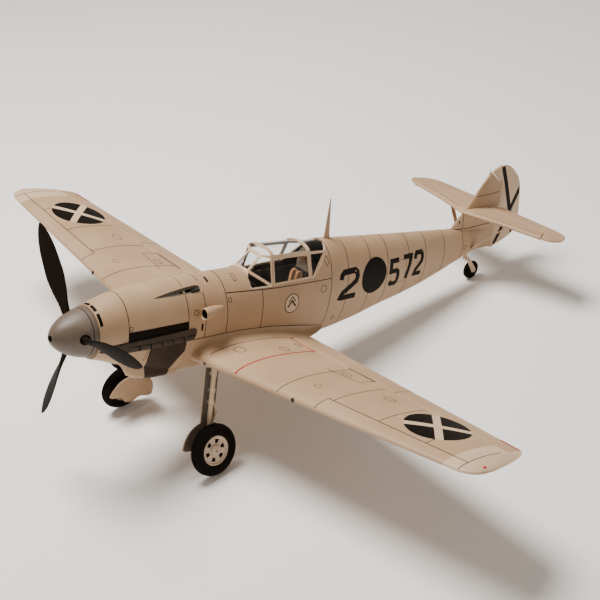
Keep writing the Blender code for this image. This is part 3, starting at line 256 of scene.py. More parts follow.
def tube(path, radius, count=10, slot=0):
    """Round bar along a path of points; radius is a number or one for each point."""
    path = [Vector(p) for p in path]
    radii = radius if isinstance(radius, (list, tuple)) else [radius] * len(path)
    _, u, v = axes_of(path[1] - path[0])
    rings = []
    for k, point in enumerate(path):
        ahead = (path[min(k + 1, len(path) - 1)] - path[max(k - 1, 0)]).normalized()
        u = (u - ahead * u.dot(ahead)).normalized()
        v = ahead.cross(u)
        rings.append([point + (u * math.cos(a) + v * math.sin(a)) * radii[k]
                      for a in angles(count)])
    return loft(rings, slot)


def to_mesh(name, shape):
    points, faces, slots = shape
    mesh = bpy.data.meshes.new(name)
    mesh.from_pydata([level_to_world(p) for p in points], [], faces)
    mesh.polygons.foreach_set("material_index", slots)
    work = bmesh.new()
    work.from_mesh(mesh)
    bmesh.ops.remove_doubles(work, verts=work.verts, dist=2e-6)
    bmesh.ops.dissolve_degenerate(work, edges=work.edges, dist=1e-6)
    bmesh.ops.recalc_face_normals(work, faces=work.faces)
    work.to_mesh(mesh)
    work.free()
    return mesh


def make(name, shape, materials, body="airframe", replaced=(), cuts=(), unions=(), angle=38.0,
         bevel=0.0):
    """One visual piece: Booleans applied, edges softened, riding on its CAD body."""
    mesh = to_mesh(name, shape)
    for material in materials:
        mesh.materials.append(MATERIALS[material])
    made = bpy.data.objects.new(name, mesh)
    bpy.context.scene.collection.objects.link(made)
    tools = []
    for kind, group in (("UNION", unions), ("DIFFERENCE", cuts)):
        for tool_shape in group:
            tool = bpy.data.objects.new("tool", to_mesh("tool", tool_shape))
            for material in materials:
                tool.data.materials.append(MATERIALS[material])
            bpy.context.scene.collection.objects.link(tool)
            tools.append(tool)
            modifier = made.modifiers.new(kind, "BOOLEAN")
            modifier.solver, modifier.operation, modifier.object = "EXACT", kind, tool
    if tools:
        bpy.context.view_layer.update()
        final = bpy.data.meshes.new_from_object(made.evaluated_get(bpy.context.evaluated_depsgraph_get()))
        made.modifiers.clear()
        made.data = final
        for tool in tools:
            bpy.data.objects.remove(tool, do_unlink=True)
    if bevel:
        modifier = made.modifiers.new("bevel", "BEVEL")
        modifier.width, modifier.segments, modifier.limit_method = bevel * 0.001, 2, "ANGLE"
        modifier.angle_limit = math.radians(40.0)
    made.data.shade_smooth()
    made.data.set_sharp_from_angle(angle=math.radians(angle))
    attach(made, body)
    if replaced:
        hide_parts(*replaced)
    return made


# ---------------------------------------------------------------- smooth tables
def curve(rows, at, column=1):
    """Smooth curve through the table's rows, with no overshoot."""
    x = [row[0] for row in rows]
    y = [row[column] for row in rows]
    at = min(max(at, x[0]), x[-1])
    k = min(max(int(np.searchsorted(x, at)) - 1, 0), len(x) - 2)
    slope = [(y[i + 1] - y[i]) / (x[i + 1] - x[i]) for i in range(len(x) - 1)]

    def tangent(i):
        if i in (0, len(x) - 1):
            return slope[0] if i == 0 else slope[-1]
        a, b = slope[i - 1], slope[i]
        return 0.0 if a * b <= 0 else 2 * a * b / (a + b)

    h = x[k + 1] - x[k]
    t = (at - x[k]) / h
    return ((2 * t ** 3 - 3 * t * t + 1) * y[k] + (t ** 3 - 2 * t * t + t) * h * tangent(k)
            + (3 * t * t - 2 * t ** 3) * y[k + 1] + (t ** 3 - t * t) * h * tangent(k + 1))


def interp(rows, at, column=1):
    """Straight-line reading of the table's rows."""
    return float(np.interp(at, [row[0] for row in rows], [row[column] for row in rows]))


# ---------------------------------------------------------------- hull
# y, top, bottom, half width, height of the widest line
HULL = [
    (62.5, 42.0, -43.0, 41.5, 0.0), (85.0, 49.5, -51.0, 43.5, 0.0),
    (112.5, 56.5, -62.0, 46.0, -2.0), (150.0, 60.0, -76.0, 48.0, -5.0),
    (188.0, 62.0, -90.0, 49.0, -8.0), (226.0, 63.0, -99.5, 50.0, -10.0),
    (261.0, 62.0, -99.5, 50.5, -10.0), (305.0, 61.0, -99.0, 51.0, -10.0),
    (354.0, 60.0, -98.0, 51.0, -8.0), (430.0, 80.0, -96.5, 51.0, -5.0),
    (500.0, 86.0, -93.5, 50.0, 0.0), (541.0, 86.5, -90.5, 48.5, 4.0),
    (581.0, 82.5, -86.0, 46.0, 5.0), (640.0, 77.0, -76.5, 42.5, 5.0),
    (687.5, 73.0, -66.0, 38.5, 6.0), (747.5, 68.0, -55.5, 33.5, 8.0),
    (797.5, 64.0, -45.0, 29.0, 9.0), (854.0, 59.5, -29.5, 23.5, 13.0),
    (912.5, 55.5, -11.5, 17.0, 19.0), (970.0, 52.5, 4.0, 11.0, 26.0),
    (1011.0, 50.5, 3.5, 5.0, 27.0),
]
UPPER_POWER, LOWER_POWER = 2.0, 2.25
HULL_WALL = 4.0
SILL_Z = 35.5


def hull_row(y):
    """Top, bottom, half width and middle height of the hull."""
    return tuple(curve(HULL, y, k) for k in (1, 2, 3, 4))


def hull_point(y, angle, grow=0.0):
    """Point of the hull's skin; angle 0 is to port and 90 degrees is up."""
    top, bottom, width, middle = hull_row(y)
    c, s = math.cos(angle), math.sin(angle)
    power = 2.0 / (UPPER_POWER if s >= 0 else LOWER_POWER)
    reach = (top - middle if s >= 0 else middle - bottom) + grow
    return Vector((math.copysign(abs(c) ** power, c) * (width + grow), y,
                   middle + math.copysign(abs(s) ** power, s) * reach))


def hull_ring(y, grow=0.0):
    return [hull_point(y, a, grow) for a in angles(72)]


def hull_side(y, z):
    """Half width of the hull at height z."""
    top, bottom, width, middle = hull_row(y)
    power, reach = (UPPER_POWER, top - middle) if z >= middle else (LOWER_POWER, middle - bottom)
    part = min(abs(z - middle) / reach, 1.0)
    return width * (1.0 - part ** power) ** (1.0 / power)


def hull_plug(y0, y1, grow):
    """Solid length of the hull, used as a cutting tool."""
    return loft([hull_ring(y, grow) for y in np.linspace(y0, y1, int((y1 - y0) / 12.0))])


def hull_shell(y0, y1, inner_slot, inner_end=None):
    """Length of the hull with a wall; behind inner_end it is solid."""
    last = inner_end or y1
    outer = list(np.linspace(y0, y1, int((y1 - y0) / 8) + 2))
    inner = list(np.linspace(last, y0, int((last - y0) / 20) + 2))
    rings = [hull_ring(y, -HULL_WALL) for y in inner] + [hull_ring(y) for y in outer]
    cut = len(inner) - 1
    return loft(rings, lambda i, j: inner_slot if i < cut else 0, loop=not inner_end)


# ---------------------------------------------------------------- wing
# Edges, height and hinge line at the centre line, with their change per unit of span
LE_Y, LE_SWEEP = 237.5, 0.085
TE_Y, TE_SWEEP = 496.0, -0.12
LE_Z, DIHEDRAL = -65.6, 0.0998
HINGE_Y, HINGE_SWEEP = 443.0, -0.08
WASH, CAMBER, WING_END = 6.0, 0.02, 583.0
FLAP_X, AILERON_X = (76.0, 338.0), (340.0, 582.0)
# x, front edge moved aft, rear edge moved forward, share of the thickness
TIP_ROUND = [(583.0, 0.0, 0.0, 1.0), (592.0, 2.5, 9.0, 0.90), (602.0, 8.0, 32.0, 0.68),
             (608.5, 17.0, 58.0, 0.42), (611.9, 32.0, 82.0, 0.14)]


def wing_line(x):
    """Leading edge, trailing edge and thickness share of the wing at x."""
    x = abs(x)
    front, back, thick = LE_Y + LE_SWEEP * x, TE_Y + TE_SWEEP * x, 1.0
    if x > WING_END:
        front += curve(TIP_ROUND, x, 1)
        back -= curve(TIP_ROUND, x, 2)
        thick = curve(TIP_ROUND, x, 3)
    return front, back, thick


def wing_heights(x, y):
    """Lower and upper height of the wing's skin."""
    front, back, thick = wing_line(x)
    full_front, full_back = LE_Y + LE_SWEEP * abs(x), TE_Y + TE_SWEEP * abs(x)
    chord, part = full_back - full_front, min(max((y - front) / (back - front), 0.0), 1.0)
    ratio = 0.146 - 0.036 * min(abs(x) / WING_END, 1.0)
    half = 5 * ratio * chord * thick * (0.2969 * math.sqrt(part) - 0.126 * part - 0.3516 * part ** 2
                                       + 0.2843 * part ** 3 - 0.1015 * part ** 4) + 0.15
    whole = (y - full_front) / chord
    middle = LE_Z + DIHEDRAL * abs(x) - WASH * whole + CAMBER * chord * 4 * whole * (1 - whole)
    return middle - half, middle + half


WING_PARTS = [(1 - math.cos(math.pi * k / 22)) / 2 for k in range(23)]


def wing_ring(x, side):
    front, back, _ = wing_line(x)
    rows = [front + (back - front) * s for s in WING_PARTS]
    ring = [Vector((x * side, y, wing_heights(x, y)[1])) for y in rows]
    return ring + [Vector((x * side, y, wing_heights(x, y)[0])) for y in rows[-2:0:-1]]


def hinge(x):
    """Hinge centre and nose radius of the flap or aileron at x."""
    y = HINGE_Y + HINGE_SWEEP * x
    low, high = wing_heights(x, y)
    return Vector((x, y, (low + high) / 2)), (high - low) / 2 - 0.2


# ---------------------------------------------------------------- markings and panel lines: thin draped solids
# Band of the given width along a 2-D path
Stroke = namedtuple("Stroke", "path width closed", defaults=(False,))


def band(line, lift, height, sink, step):
    """Thin solid strip along a stroke, lying on the surface given by lift(u, v, h)."""
    pts = dense(line.path, step, line.closed)
    count, rings = len(pts), []
    for k, p in enumerate(pts):
        before = pts[k - 1] if line.closed or k else p
        after = pts[(k + 1) % count] if line.closed or k < count - 1 else p
        runs = [(b - a).normalized() for a, b in ((before, p), (p, after)) if (b - a).length > 1e-6]
        run = sum(runs, Vector((0.0, 0.0))) / len(runs)
        n = Vector((-run.y, run.x)) / max(run.length_squared, 0.4) * line.width / 2
        rings.append([lift(*(p + n), -sink), lift(*(p + n), height), lift(*(p - n), height), lift(*(p - n), -sink)])
    return loft(rings, 0, line.closed)


def ellipse(u, v, ru, rv=None, count=28):
    return [(u + ru * math.cos(a), v + (rv or ru) * math.sin(a)) for a in angles(count)]


def dense(path, step, closed=True):
    """Path with points no more than about step apart."""
    out, count = [], len(path)
    for k in range(count if closed else count - 1):
        a, b = Vector(path[k]), Vector(path[(k + 1) % count])
        parts = max(int((b - a).length / step), 1)
        out += [a.lerp(b, m / parts) for m in range(parts)]
    return out if closed else out + [Vector(path[-1])]


def drape(loops, lift, height=0.12, sink=0.35, step=5.0):
    """Thin solid over a stroke, or over the area inside loops, lying on the surface given by lift(u, v, h)."""
    if isinstance(loops, Stroke):
        return band(loops, lift, height, sink, step)
    points, edges = [], []
    for loop in loops:
        loop = dense(loop, step)
        edges += [(len(points) + k, len(points) + (k + 1) % len(loop)) for k in range(len(loop))]
        points += loop
    us, vs = [p.x for p in points], [p.y for p in points]
    if (max(us) - min(us)) > 1.6 * step and (max(vs) - min(vs)) > 1.6 * step:
        for u in np.arange(min(us) + step / 2, max(us), step):
            points += [Vector((u, v)) for v in np.arange(min(vs) + step / 2, max(vs), step)]
    flat, _, tris, _, _, _ = delaunay_2d_cdt(points, edges, [], 2, 1e-4)
    count = len(flat)
    solid = [lift(p.x, p.y, height) for p in flat] + [lift(p.x, p.y, -sink) for p in flat]
    sides = {(t[k], t[(k + 1) % len(t)]) for t in tris for k in range(len(t))}
    faces = [tuple(t) for t in tris] + [tuple(k + count for k in t[::-1]) for t in tris]
    faces += [(b, a, a + count, b + count) for a, b in sides if (b, a) not in sides]
    return solid, faces, [0] * len(faces)


def hull_lift(side):
    """Map from (y, z) to the hull's flank."""
    return lambda y, z, h: Vector(((hull_side(y, z) + h) * side, y, z))


def hull_round(side):
    """Map from (y, degrees round the hull) to its skin; 0 degrees is abeam on the given side."""
    return lambda y, angle, h: hull_point(y, math.radians(flip(angle, side)), h)


def wing_lift(side, upper=True):
    """Map from (x, y) to the wing's upper or lower skin."""
    if upper:
        return lambda x, y, h: Vector((x * side, y, wing_heights(x, y)[1] + h))
    return lambda x, y, h: Vector((x * side, y, wing_heights(x, y)[0] - h))


LINE = 1.35  # width of a panel line


def flip(angle, side):
    """Angle round the hull, mirrored for the starboard side."""
    return angle if side > 0 else 180 - angle


def hull_arc(side, y, start, end, width=LINE):
    """Panel line round the hull at one station, from one angle to another."""
    start, end = flip(start, side), flip(end, side)
    steps = max(int(abs(end - start) / 6), 2)
    half = width / 2
    rings = []
    for a in np.linspace(start, end, steps + 1):
        rings.append([hull_point(y - half, math.radians(a), -0.35), hull_point(y - half, math.radians(a), 0.1),
                      hull_point(y + half, math.radians(a), 0.1), hull_point(y + half, math.radians(a), -0.35)])
    return loft(rings)


def both(shape_of_side):
    """Port and starboard copy as one shape."""
    return merge(shape_of_side(1), shape_of_side(-1))


def z_angle(y, z):
    """Angle round the hull, in degrees, of the flank at height z."""
    top, bottom, _, middle = hull_row(y)
    if z >= middle:
        return math.degrees(math.asin(min((z - middle) / (top - middle), 1.0)))
    return -math.degrees(math.asin(min((middle - z) / (middle - bottom), 1.0) ** (LOWER_POWER / 2)))


# y, height of the panel lines along the cockpit sill and above the wing fairing
SILL_LINE = [(301.0, 38.4), (378.0, 33.5), (460.0, 31.5), (538.0, 29.6)]
FAIRING_LINE = [(228.0, -27.5), (250.0, -27.8), (307.5, -28.3), (384.0, -33.4), (461.0, -45.6), (538.0, -63.5)]


def cowl_lines(side):
    parts = [hull_arc(side, 112.5, 90, 4), hull_arc(side, 226.2, 90, 67, 1.3), hull_arc(side, 226.2, 51, 3, 1.3),
             hull_arc(side, 112.5, -32, -88),
             drape(Stroke(ellipse(116, 12, 3.2), 1.0, True), hull_lift(side), 0.14),
             drape(Stroke([(109, -28), (109, -40), (107.2, -43), (109.2, -46), (111.4, -43), (111.4, -28)], 0.7, True),
                   hull_lift(side)),
             drape(Stroke([(150, -30), (150, -44), (148, -48), (150.5, -51), (153, -48), (153, -30)], 0.7, True),
                   hull_lift(side))]
    return merge(*parts)


def hull_lines(side):
    down = (lambda y: z_angle(y, curve(FAIRING_LINE, y)))
    parts = [hull_arc(side, y, start, end) for y, start, end in (
        (261.0, 90, 72), (261.0, 50, down(261)), (305.5, 90, down(305.5)), (381.0, z_angle(381, 33.5), down(381)),
        (538.0, z_angle(538, 86), down(538)))]
    parts += [hull_arc(side, y, 90, -90) for y in (581.0, 640.0, 687.5, 747.5, 797.5, 854.0, 912.5)]
    parts.append(drape(Stroke([(y, curve(SILL_LINE, y)) for y in np.linspace(306, 538, 12)], LINE), hull_lift(side)))
    parts.append(drape(Stroke([(y, curve(FAIRING_LINE, y)) for y in np.linspace(229, 538, 18)], LINE + 0.1),
                       hull_lift(side), 0.2))
    for y, z, r in ((242, 18, 4.2), (312, 27, 3.4), (519, 14, 6.5), (921, 20, 4.2), (560, -52, 3.6)):
        parts.append(drape(Stroke(ellipse(y, z, r), 1.0, True), hull_lift(side), 0.14))
    parts.append(drape(Stroke([(528, 52), (524, 60), (528, 68), (532, 66), (533, 56)], 1.0, True), hull_lift(side),
                       0.14))
    parts.append(drape(Stroke([(699, -14), (740, -12), (740, 30), (699, 31)], 0.7, True), hull_lift(side)))
    parts.append(drape(Stroke([(331, 60), (331, 76), (337, 76), (337, 60)], 1.0, True), hull_round(side)))
    return merge(*parts)


def black_details(side):
    """Louvres, slots and the dark panel along the cowl."""
    turn, flank = hull_round(side), hull_lift(side)
    return merge(drape([[(64.2, 31), (64.2, 60), (69.4, 60), (69.4, 31)]], turn, 0.15),
                 drape([[(64.2, 67), (64.2, 88), (69.4, 88), (69.4, 67)]], turn, 0.15),
                 drape([[(252, -2), (252, -14), (256, -14), (256, -2)]], flank, 0.15),
                 drape([[(277, 66), (277, 79), (281, 79), (281, 66)]], turn, 0.15),
                 drape([[(112, -9.0), (112, 7.0), (225.4, 6.5), (225.4, -9.0)]], flank, 0.5))


# ---------------------------------------------------------------- cowl and fuselage skins
GUN_X = 29
# y, height of the trough's floor, radius
trough_line = [(165.0, 43.5, 1.0), (200.0, 45.2, 4.6), (236.0, 47.2, 6.9), (250.0, 47.9, 7.3), (255.0, 48.2, 6.6),
               (257.8, 48.2, 5.4), (259.0, 48.5, 3.4)]


def trough(side):
    # The trough's inside takes slot 2, the dark door colour: painted shade down the gun trough.
    return loft([circle(GUN_X * side, y, z + 5.5, r, 24) for y, z, r in trough_line], 2)


# share of the half width, share of the height
chin_outline = ((-1, 1), (-1, 0.35), (-0.94, 0.2), (-0.8, 0.08), (-0.6, 0.02), (-0.45, 0), (0.45, 0), (0.6, 0.02),
                (0.8, 0.08), (0.94, 0.2), (1, 0.35), (1, 1))
# y, half width, top, bottom
CHIN = [(120, 24, -52, -62), (127, 25.3, -53, -74), (134, 26.5, -54, -84), (150, 28.5, -56, -92.5),
        (178, 30, -60, -97.5), (225.6, 31, -60, -99.6)]
chin = loft([[Vector((w * x, y, b + (t - b) * h)) for x, h in chin_outline] for y, w, t, b in CHIN])
mouth_outline = ((-1, 0.25), (-0.93, 0.1), (-0.8, 0.02), (0.8, 0.02), (0.93, 0.1), (1, 0.25), (0.95, 0.6),
                 (0.85, 0.8), (0.4, 1), (-0.4, 1), (-0.85, 0.8), (-0.95, 0.6))
# The chin mouth (slot 1) and the cowl's inner wall are lined near-black: painted shade inside the opening.
mouth = loft([[Vector((20 * x, 96 + 30 * h, -62 - 27 * h)) for x, h in mouth_outline],
              [Vector((19 * x, 160, -64 - 25 * h)) for x, h in mouth_outline]], 1)
make("cowl_skin", hull_shell(62.5, 226.0, 1), ["paint", "black_and_hole_shade", "door_inside_and_trough_shade"], replaced=("engine_cowl",),
     unions=[chin], cuts=[mouth, trough(1), trough(-1)])

# height, then leading edge, half thickness or front of the rudder horn
FIN_LE = [(40.0, 872.0), (61.5, 891.0), (104.0, 931.0), (137.5, 956.5), (160.0, 976.6)]
FIN_HALF = [(40.0, 6.4), (104.0, 5.4), (172.4, 3.0)]
FIN_HORN = [(138.0, 1016.0), (163.0, 981.5)]
RUDDER_Y = 1016.0
STAB_Z, STAB_HINGE_Y = 87.5, 981.0
# x, then leading edge, trailing edge or half thickness
STAB_LE = [(0.0, 911.0), (15.0, 915.0), (80.0, 934.0), (150.0, 947.0), (163.0, 950.5), (180.0, 957.0),
           (188.0, 966.0), (191.0, 978.0)]
STAB_TE = [(0.0, 1019.0), (130.0, 1019.0), (163.0, 1016.0), (180.0, 1005.0), (188.0, 993.0), (191.0, 982.0)]
STAB_HALF = [(0.0, 6.6), (80.0, 5.6), (163.0, 4.0), (191.0, 1.6)]
HORN_X = (150.0, 163.0)
# share of the chord, share of the half thickness
SECTION = [(0.0, 0.0), (0.01, 0.24), (0.04, 0.47), (0.09, 0.68), (0.16, 0.85), (0.27, 0.96), (0.4, 1.0),
           (0.58, 0.97), (0.75, 0.9), (0.9, 0.83), (1.0, 0.78)]


def fin_edges(z):
    front = interp(FIN_LE, z)
    back = min(RUDDER_Y - 4.8, interp(FIN_HORN, z) - 6.2 if z > 138.0 else RUDDER_Y)
    return front, max(back, front + 2.0)


def fin_lift(side):
    def lift(y, z, h):
        front, back = fin_edges(z)
        part = min(max((y - front) / (back - front), 0.0), 1.0)
        return Vector(((interp(FIN_HALF, z) * interp(SECTION, part) + h) * side, y, z))
    return lift


def fin_ring(z):
    front, back = fin_edges(z)
    ring = [Vector((interp(FIN_HALF, z) * w, front + (back - front) * s, z)) for s, w in SECTION]
    return ring + [sided(p, -1) for p in ring[:0:-1]]


fin = loft([fin_ring(z) for z in (40, 50, 61.5, 72, 85, 95, 104, 115, 125, 131, 137.5, 144, 150, 155, 160.5)])


def spar_ring(x, grow, side):
    z = LE_Z + DIHEDRAL * abs(x) + 4.0
    return [Vector((x * side, 385 + a * (5 + grow), z + b * (4 + grow))) for a, b in CORNERS]


def spar_cut():
    return loft([spar_ring(250, 0.35, -1), spar_ring(0, 0.35, 1), spar_ring(250, 0.35, 1)])


def stab_half(x):
    return interp(STAB_HALF, abs(x))


def stab_rear(x):
    x = abs(x)
    rear = STAB_HINGE_Y - stab_half(x) * 0.85 - 0.8
    if x > HORN_X[0]:
        share = min((x - HORN_X[0]) / (HORN_X[1] - HORN_X[0]), 1.0)
        rear += (interp(STAB_LE, HORN_X[1]) + 1.0 - rear) * share
    return rear


STAB_SECTION = [(0.0, 0.0), (0.012, 0.26), (0.05, 0.52), (0.11, 0.74), (0.2, 0.89), (0.32, 0.97), (0.45, 1.0),
                (0.6, 0.99), (0.75, 0.95), (0.9, 0.9), (1.0, 0.85)]


def stab_ring(x, grow=0.0):
    front, back, half = interp(STAB_LE, abs(x)) - grow, stab_rear(x) + grow, stab_half(x) + grow
    ring = [Vector((x, front + (back - front) * s, STAB_Z + half * h)) for s, h in STAB_SECTION]
    return ring + [Vector((x, p.y, 2 * STAB_Z - p.z)) for p in ring[:0:-1]]


def stab(reach, grow=0.0):
    xs = [x for x in (0, 8, 16, 30, 48, 64, 80, 98, 115, 132, 150, 157, 163) if x <= reach]
    return loft([stab_ring(x, grow) for x in [-x for x in xs[:0:-1]] + xs])


# Cockpit opening: front edge, foot of the slanted rear edge, and its slope
DECK_END, REAR_FOOT, REAR_LEAN = 359.0, 496.0, 0.93
cockpit_cut = prism([(-60, DECK_END, SILL_Z), (-60, REAR_FOOT, SILL_Z),
                     (-60, REAR_FOOT + (120 - SILL_Z) * REAR_LEAN, 120), (-60, DECK_END, 120)], (120, 0, 0))
make("fuselage_skin", hull_shell(226.5, 1011.0, 1, 860.0), ["paint", "cockpit", "door_inside_and_trough_shade"], replaced=("fuselage",),
     unions=[fin],
     cuts=[cockpit_cut, box((-20, 244, -120), (20, 352, -80)), spar_cut(), stab(80, 0.35),
           rod((-14, STAB_HINGE_Y, STAB_Z), (14, STAB_HINGE_Y, STAB_Z), 2.7),
           rod((0, 947, 12), (0, 947, -30), 3.5), trough(1), trough(-1)])

make("cowl_lines", both(cowl_lines), ["line"])
make("hull_lines", both(hull_lines), ["line"])
make("cowl_black", both(black_details), ["marking_black"])


def chin_side(y, z):
    for k in range(len(CHIN) - 1):
        if CHIN[k][0] <= y <= CHIN[k + 1][0]:
            top, bottom = interp(CHIN, y, 2), interp(CHIN, y, 3)
            high = (z - bottom) / (top - bottom)
            if 0.0 <= high <= 1.05:
                return interp(CHIN, y, 1) * interp([(0, 0.45), (0.08, 0.8), (0.2, 0.94), (0.35, 1.0)], high)
    return 0.0


def flank_lift(side):
    return lambda y, z, h: Vector(((max(hull_side(y, z), chin_side(y, z)) + h) * side, y, z))


soot = [(155, -20), (225.6, -20), (225.6, -46), (221, -52), (215, -61), (211, -72), (209, -84), (163, -84), (160, -68),
        (156, -48)]
wedge = [(64.5, -11), (110, -9), (110, -26), (80, -26), (64.5, -21)]


def soot_under(side):
    """Lower end of the soot patch, wrapped round the chin's bottom corner."""
    rings = []
    for x, h in ((1, 0.42), (1, 0.35), (0.94, 0.2), (0.8, 0.08), (0.6, 0.02), (0.45, 0), (0.2, 0)):
        ends = (162.5 + 3.5 * (0.42 - h) / 0.42, 210.0 - 2.0 * (0.42 - h) / 0.42)
        layers = []
        for grow in (0.14, -0.5):
            layers.append([])
            for y in np.linspace(*ends, 15):
                width, high, low = (interp(CHIN, y, column) for column in (1, 2, 3))
                layers[-1].append(Vector(((width * x + grow * (x > 0.3)) * side, y,
                                          low + (high - low) * h - grow * (h < 0.3))))
        rings.append(layers[0] + layers[1][::-1])
    return loft(rings)


make("cowl_soot_patch", both(lambda side: merge(drape([soot], flank_lift(side), 0.1, 0.6, 3.0), soot_under(side),
                                                drape([wedge], hull_lift(side), 0.14))), ["soot_patch"])

# gun muzzles in their troughs
for name, side in SIDES:
    make("gun_barrel_" + name, rod((GUN_X * side, 240, 48.2), (GUN_X * side, 256, 48.9), 2.5, 20, 0, 0.6),
         ["black_and_hole_shade"])


# ---------------------------------------------------------------- digits, disc and emblem
GLYPHS = {
    "2": [(0.0, 0.74), (0.03, 0.9), (0.16, 1.0), (0.84, 1.0), (0.97, 0.9), (1.0, 0.74), (0.93, 0.58), (0.62, 0.42),
          (0.18, 0.22), (0.0, 0.02), (1.0, 0.0)],
    "5": [(1.0, 1.0), (0.04, 1.0), (0.0, 0.56), (0.72, 0.57), (0.95, 0.48), (1.0, 0.3), (0.95, 0.1), (0.78, 0.0),
          (0.18, 0.0), (0.0, 0.14)],
    "7": [(0.0, 1.0), (1.0, 1.0), (0.86, 0.7), (0.5, 0.0)],
}


def digit(text, y, z, width, height, pen, side):
    path = GLYPHS[text]
    if side < 0:
        path = [(1.0 - u, v) for u, v in path]
    return drape(Stroke([(y + u * width, z + v * height) for u, v in path], pen), hull_lift(side), 0.14, 0.35, 4.0)


def code(side):
    first, second, third = ("5", "7", "2") if side > 0 else ("2", "7", "5")
    return merge(digit("2", 563, -14, 42, 48, 10.5, side),
                 drape([ellipse(651, 14, 33.5, count=48)], hull_lift(side), 0.14),
                 digit(first, 697, -12, 22, 44, 9.0, side), digit(second, 732, -8.5, 22, 42.5, 8.8, side),
                 digit(third, 766, -5.0, 21, 41, 8.6, side))


make("code_markings", both(code), ["marking_black"])


def emblem(side):
    ring = drape(Stroke(ellipse(446, 0, 15.5, 17.0, 40), 1.5, True), hull_lift(side), 0.22, 0.3)
    chevron = drape(Stroke([(437, -6), (446, 5), (455, -6)], 3.2), hull_lift(side), 0.24, 0.3)
    second = drape(Stroke([(438, 3), (446, 12.2), (454, 3)], 1.8), hull_lift(side), 0.24, 0.3)
    return merge(ring, chevron, second)


make("emblem_field", both(lambda side: drape([ellipse(446, 0, 15.2, 16.7, 40)], hull_lift(side), 0.16)), ["paint_pale"])
make("emblem_marks", both(emblem), ["line"])

# ---------------------------------------------------------------- undercarriage geometry
LEG_TOP = Vector((80.0, 264.0, -57.0))
LEG_FOOT = Vector((109.0, 243.5, -196.5))
LEG_RETRACTED = Vector((0.880, 0.470, -0.045))
WHEEL_RADIUS, WHEEL_HALF, RIM_RADIUS, WHEEL_OFFSET = 44.0, 8.75, 25.5, 17.5
DOOR_RADIUS, DOOR_DROP = 45.5, 4.0
LEG_LINE = (LEG_FOOT - LEG_TOP).normalized()
AXLE = Vector((0.990, 0.0, 0.141))
AXLE = (AXLE - LEG_LINE * AXLE.dot(LEG_LINE)).normalized()
UP_LINE = LEG_RETRACTED.normalized()
UP_AXLE = (Vector((0.0, 0.0, 1.0)) - UP_LINE * UP_LINE.z).normalized()
LEG_LENGTH = (LEG_FOOT - LEG_TOP).length


def leg_point(along, out, across, retracted=False, side=1):
    line, axle = (UP_LINE, UP_AXLE) if retracted else (LEG_LINE, AXLE)
    return sided(LEG_TOP + line * along + axle * out + line.cross(axle) * across, side)


# ---------------------------------------------------------------- wings
PALE_TIP = 556.5  # the tip beyond this is paler
wing_stations = list(np.linspace(38.0, 557.0, 44)) + [558.5, 566.0, 574.0, 583.0, 587.5, 592.0, 596.0, 599.5, 602.5,
                                                     605.0, 607.0, 608.8, 610.3, 611.4, 611.95]


def wing_tone(i, j):
    return 1 if wing_stations[i] > PALE_TIP else 0


RADIATOR_Z = wing_heights(150, 420)[0] + 2
for name, side in SIDES:
    radiator = loft([[sided((x, y, RADIATOR_Z - d * h), side) for x, h in
                      ((118.3, -0.3), (121.2, 0.83), (123.0, 0.94), (126.4, 1), (184.1, 1), (187.5, 0.94),
                       (189.3, 0.83), (192.2, -0.3))] for y, d in ((345, 15.0), (392, 16.0), (410, 12.5), (425, 7.0))])
    x0, x1 = FLAP_X[0] - 0.8, AILERON_X[1] + 0.8
    (c0, r0), (c1, r1) = hinge(x0), hinge(x1)
    wheel_up = leg_point(LEG_LENGTH, WHEEL_OFFSET, 0, True)
    # Slot for the leg: full width from below, and up to the skin only clear of the leading edge.
    strip = [leg_point(a, -30, c, True, side) for a, c in ((-14, -17), (-14, 17), (LEG_LENGTH, 17), (LEG_LENGTH, -17))]
    deep = [leg_point(a, -28.7, c, True, side) for a, c in ((-13.5, -16.4), (-13.5, 3.5), (10, 16.4),
                                                            (LEG_LENGTH + 3, 16.4), (LEG_LENGTH + 3, -16.4))]
    pocket_low = wing_heights(460.0, 356.0)[0]
    cuts = [
        hull_plug(200, 560, -0.4),
        prism([(x0 * side, c0.y - r0 - 0.8, -150), (x1 * side, c1.y - r1 - 0.8, -150), (x1 * side, 520, -150),
               (x0 * side, 520, -150)], (0, 0, 250)),
        box((129 * side, 338.7, RADIATOR_Z - 13.1), (181 * side, 376.3, RADIATOR_Z - 6.3), 2),
        spar_cut(),
        prism(strip, sided(UP_AXLE * 29.5, side), 2), prism(deep, sided(UP_AXLE * 36.2, side), 2),
        lathe(sided(wheel_up - UP_AXLE * 45, side), sided(UP_AXLE, side),
              [(0, 50.5, 2), (45 + WHEEL_HALF - 9.0, 50.5, 2), (45 + WHEEL_HALF + 1.0, 37.0, 2)], 56, 2),
        prism([(48 * side, y, z) for y, z in ((249, -64.5), (253, -66), (281, -66), (281, -49.5), (257, -49.5),
                                              (249, -54))], (24 * side, 0, 0), 2),
        box((447 * side, 349.5, pocket_low - 6), (473 * side, 362.5, pocket_low + 11), 2),
        box((471 * side, 344, pocket_low - 8), (481 * side, 368, pocket_low + 8), 2),
    ]
    make("wing_skin_" + name, loft([wing_ring(x, side) for x in wing_stations], wing_tone),
         ["paint", "paint_pale", "well"], replaced=("wing_" + name,), unions=[radiator], cuts=cuts)
    # Radiator matrix: fins across the duct.
    # Their near-black is partly the radiator core's own colour, partly painted shade deep in the duct.
    fins = [box(((131 + 2.4 * k) * side, 371.5, RADIATOR_Z - 12.9), ((132.2 + 2.4 * k) * side, 375.5, RADIATOR_Z - 6.5))
            for k in range(21)]
    make("radiator_matrix_" + name, merge(*fins), ["black_and_hole_shade"])


def chord_line(x, start, end, steps=16):
    """Path along the chord at one span station, between two shares of the chord."""
    front, back, _ = wing_line(x)
    return [(x, front + (back - front) * (start + (end - start) * (k / steps) ** 2)) for k in range(steps + 1)]


